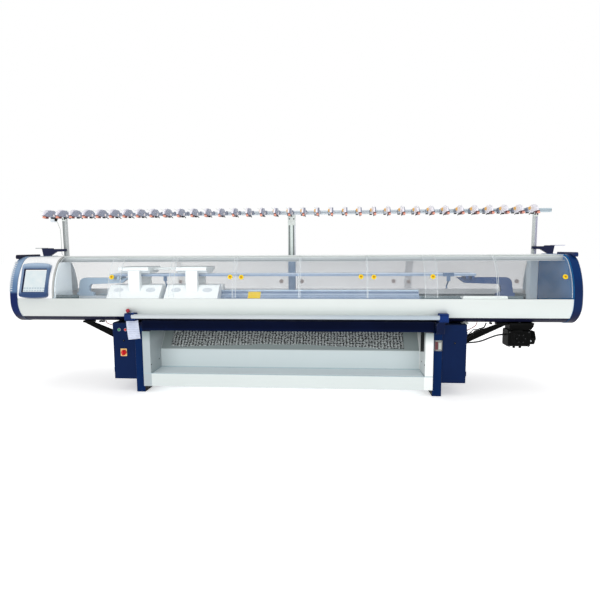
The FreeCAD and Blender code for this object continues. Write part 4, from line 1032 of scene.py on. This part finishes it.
# ---------- drive unit and clipped cables
drive = Piece()
for x, z in ((2.068, 0.47), (2.068, 0.6), (2.24, 0.47), (2.24, 0.6)):
    drive.lathe([(0.008, 0), (0.008, 0.005), (0.005, 0.007), (0, 0.007)],
                facing((x, MOTOR_FACE, z)), bolt_dark, 6)
drive.lathe(
    [(0.05, 0), (0.05, 0.004), (0.044, 0.007), (0.03, 0.007), (0.026, 0.003), (0, 0.003)],
    facing((MOTOR_X, MOTOR_FACE, MOTOR_Z)), black)
for k in range(6):
    a = 2 * pi * k / 6
    drive.lathe(
        [(0.0045, 0), (0.0045, 0.004), (0, 0.0048)],
        facing((MOTOR_X + 0.038 * cos(a), MOTOR_FACE - 0.006, MOTOR_Z + 0.038 * sin(a))),
        bolt_dark, 8)
for k in range(5):
    x = 2.085 + 0.012 * k
    drive.block(x, x + 0.005, -0.366, -0.36, 0.485, 0.59, black)
drive.block(2.098, 2.18, -0.372, -0.358, 0.606, 0.6175, black)
for x, lean in ((2.137, 0.004), (2.193, -0.014)):
    drive.lathe([(0.014, 0), (0.014, 0.01), (0.01, 0.014), (0.01, 0.026), (0.008, 0.029)],
                facing((x, -0.288, 0.466), (lean * 8, 0, -1)), black, 12)
drive.lathe(
    [(0.016, 0), (0.016, 0.008), (0.011, 0.012), (0.011, 0.018)], facing((2.262, -0.33, 0.52),
    (0.5, -1, -0.2)), alloy, 14)
drive.done("drive_details", bevel=0.001)

bundle = Piece()
for dx, dz, r in ((0, 0, 0.006), (0.012, 0.016, 0.005), (-0.006, 0.026, 0.004)):
    bundle.tube(
        [(1.676, -0.326, 0.52 + dz), (1.716 + dx, -0.33, 0.548 + dz),
        (1.756 + dx, -0.332, 0.59 + dz), (1.8 + dx, -0.33, 0.604 + dz * 0.6),
        (1.85, -0.328, 0.64), (1.868, -0.32, 0.678)], r, cable_black, 10)
for x, z in ((1.742, 0.572), (1.822, 0.612)):
    bundle.lathe([(0.022, -0.004), (0.024, 0), (0.022, 0.004)],
                 facing((x, -0.322, z), (0.78, 0, 0.62)), cable_black, 14)
bundle.block(1.64, 1.706, -0.33, -0.29, 0.664, 0.6795, socket_pale)
for x in (-1.85, -1.822, 1.905):
    bundle.block(x, x + 0.018, -0.32, -0.285, 0.664, 0.6795, ink_black)
bundle.done("clipped_cables", bevel=0.001)


# ---------- knitted fabric
def fabric():
    """The cloth's own surface, wavy and ribbed, inside the space its solid holds."""
    rng = random.Random(7)
    slope = atan2(0.585 - 0.371, 0.008 + 0.18)    # the tray's slide
    radius = 0.046
    turn = pi / 2 - slope
    top, bend = 0.94, 0.602
    drop = top - bend
    arc_len = radius * turn
    reach = 0.243
    total = drop + arc_len + reach

    def at(s):
        """Centre line point and outward direction at a distance down the cloth."""
        if s < drop:
            return (0, top - s), (1, 0)
        s -= drop
        if s < arc_len:
            b = s / radius
            return ((-radius + radius * cos(b), bend - radius * sin(b)), (cos(b), -sin(b)))
        s -= arc_len
        y = -radius + radius * cos(turn) - cos(slope) * s
        z = bend - radius * sin(turn) - sin(slope) * s
        return (y, z), (cos(turn), -sin(turn))

    left, width = -1.19, 2.33
    across, down = 420, 90
    phases = [rng.uniform(0, 6.28) for _ in range(6)]
    points, uvs = [], []
    for i in range(across + 1):
        u = i / across
        x = left + width * u
        hem = 0.014 + 0.034 * sin(pi * u) ** 2 - 0.011 * u ** 3
        hem += 0.003 * sin(u * 31 + phases[0]) + 0.002 * sin(u * 67 + phases[1])
        length = total - hem
        for j in range(down + 1):
            s = length * j / down
            (y, z), (dy, dz) = at(s)
            loose = max(0, s - 0.36) / 0.3
            fold = 0.0018 * sin(x * 2 * pi / WALE)
            fold += 0.0035 * loose * sin(x * 19 + phases[2] + 3 * s)
            fold += 0.002 * loose * sin(x * 43 + phases[3] - 5 * s)
            points.append((x, y - dy * fold, z - dz * fold))
            uvs.append((x, s))
    faces = []
    for i in range(across):
        for j in range(down):
            a = i * (down + 1) + j
            faces.append((a, a + 1, a + down + 2, a + down + 1))
    mesh = bpy.data.meshes.new("knitted_cloth")
    mesh.from_pydata(points, [], faces)
    mesh.shade_smooth()
    layer = mesh.uv_layers.new(name="cloth")
    for loop in mesh.loops:
        layer.data[loop.index].uv = uvs[loop.vertex_index]
    mesh.materials.append(knit)
    piece = placed("knitted_cloth", mesh, replaces=("knitted_fabric",))
    thick = piece.modifiers.new("cloth thickness", "SOLIDIFY")
    thick.thickness = 0.0024
    thick.offset = 0.0


fabric()

# ---------- paper card
paper = Piece()
rows = []
for j in range(9):
    t = j / 8
    z = -0.178 * t
    bow = -0.004 * sin(pi * t) - 0.006 * t * t
    rows.append(
        [(x, bow + dy, z) for x, dy in ((-0.06, 0), (0, -0.001), (0.06, 0), (0.06, 0.0006),
        (0, -0.0004), (-0.06, 0.0006))])
lean = Matrix.Translation((-1.469, -0.428, 0.697)) @ Matrix.Rotation(radians(-6), 4, "Y")
paper.skin([[lean @ Vector(p) for p in row] for row in rows], card)
paper.done(
    "paper_card", "left_cabinet_door", smooth=60, replaces=("instruction_card",))
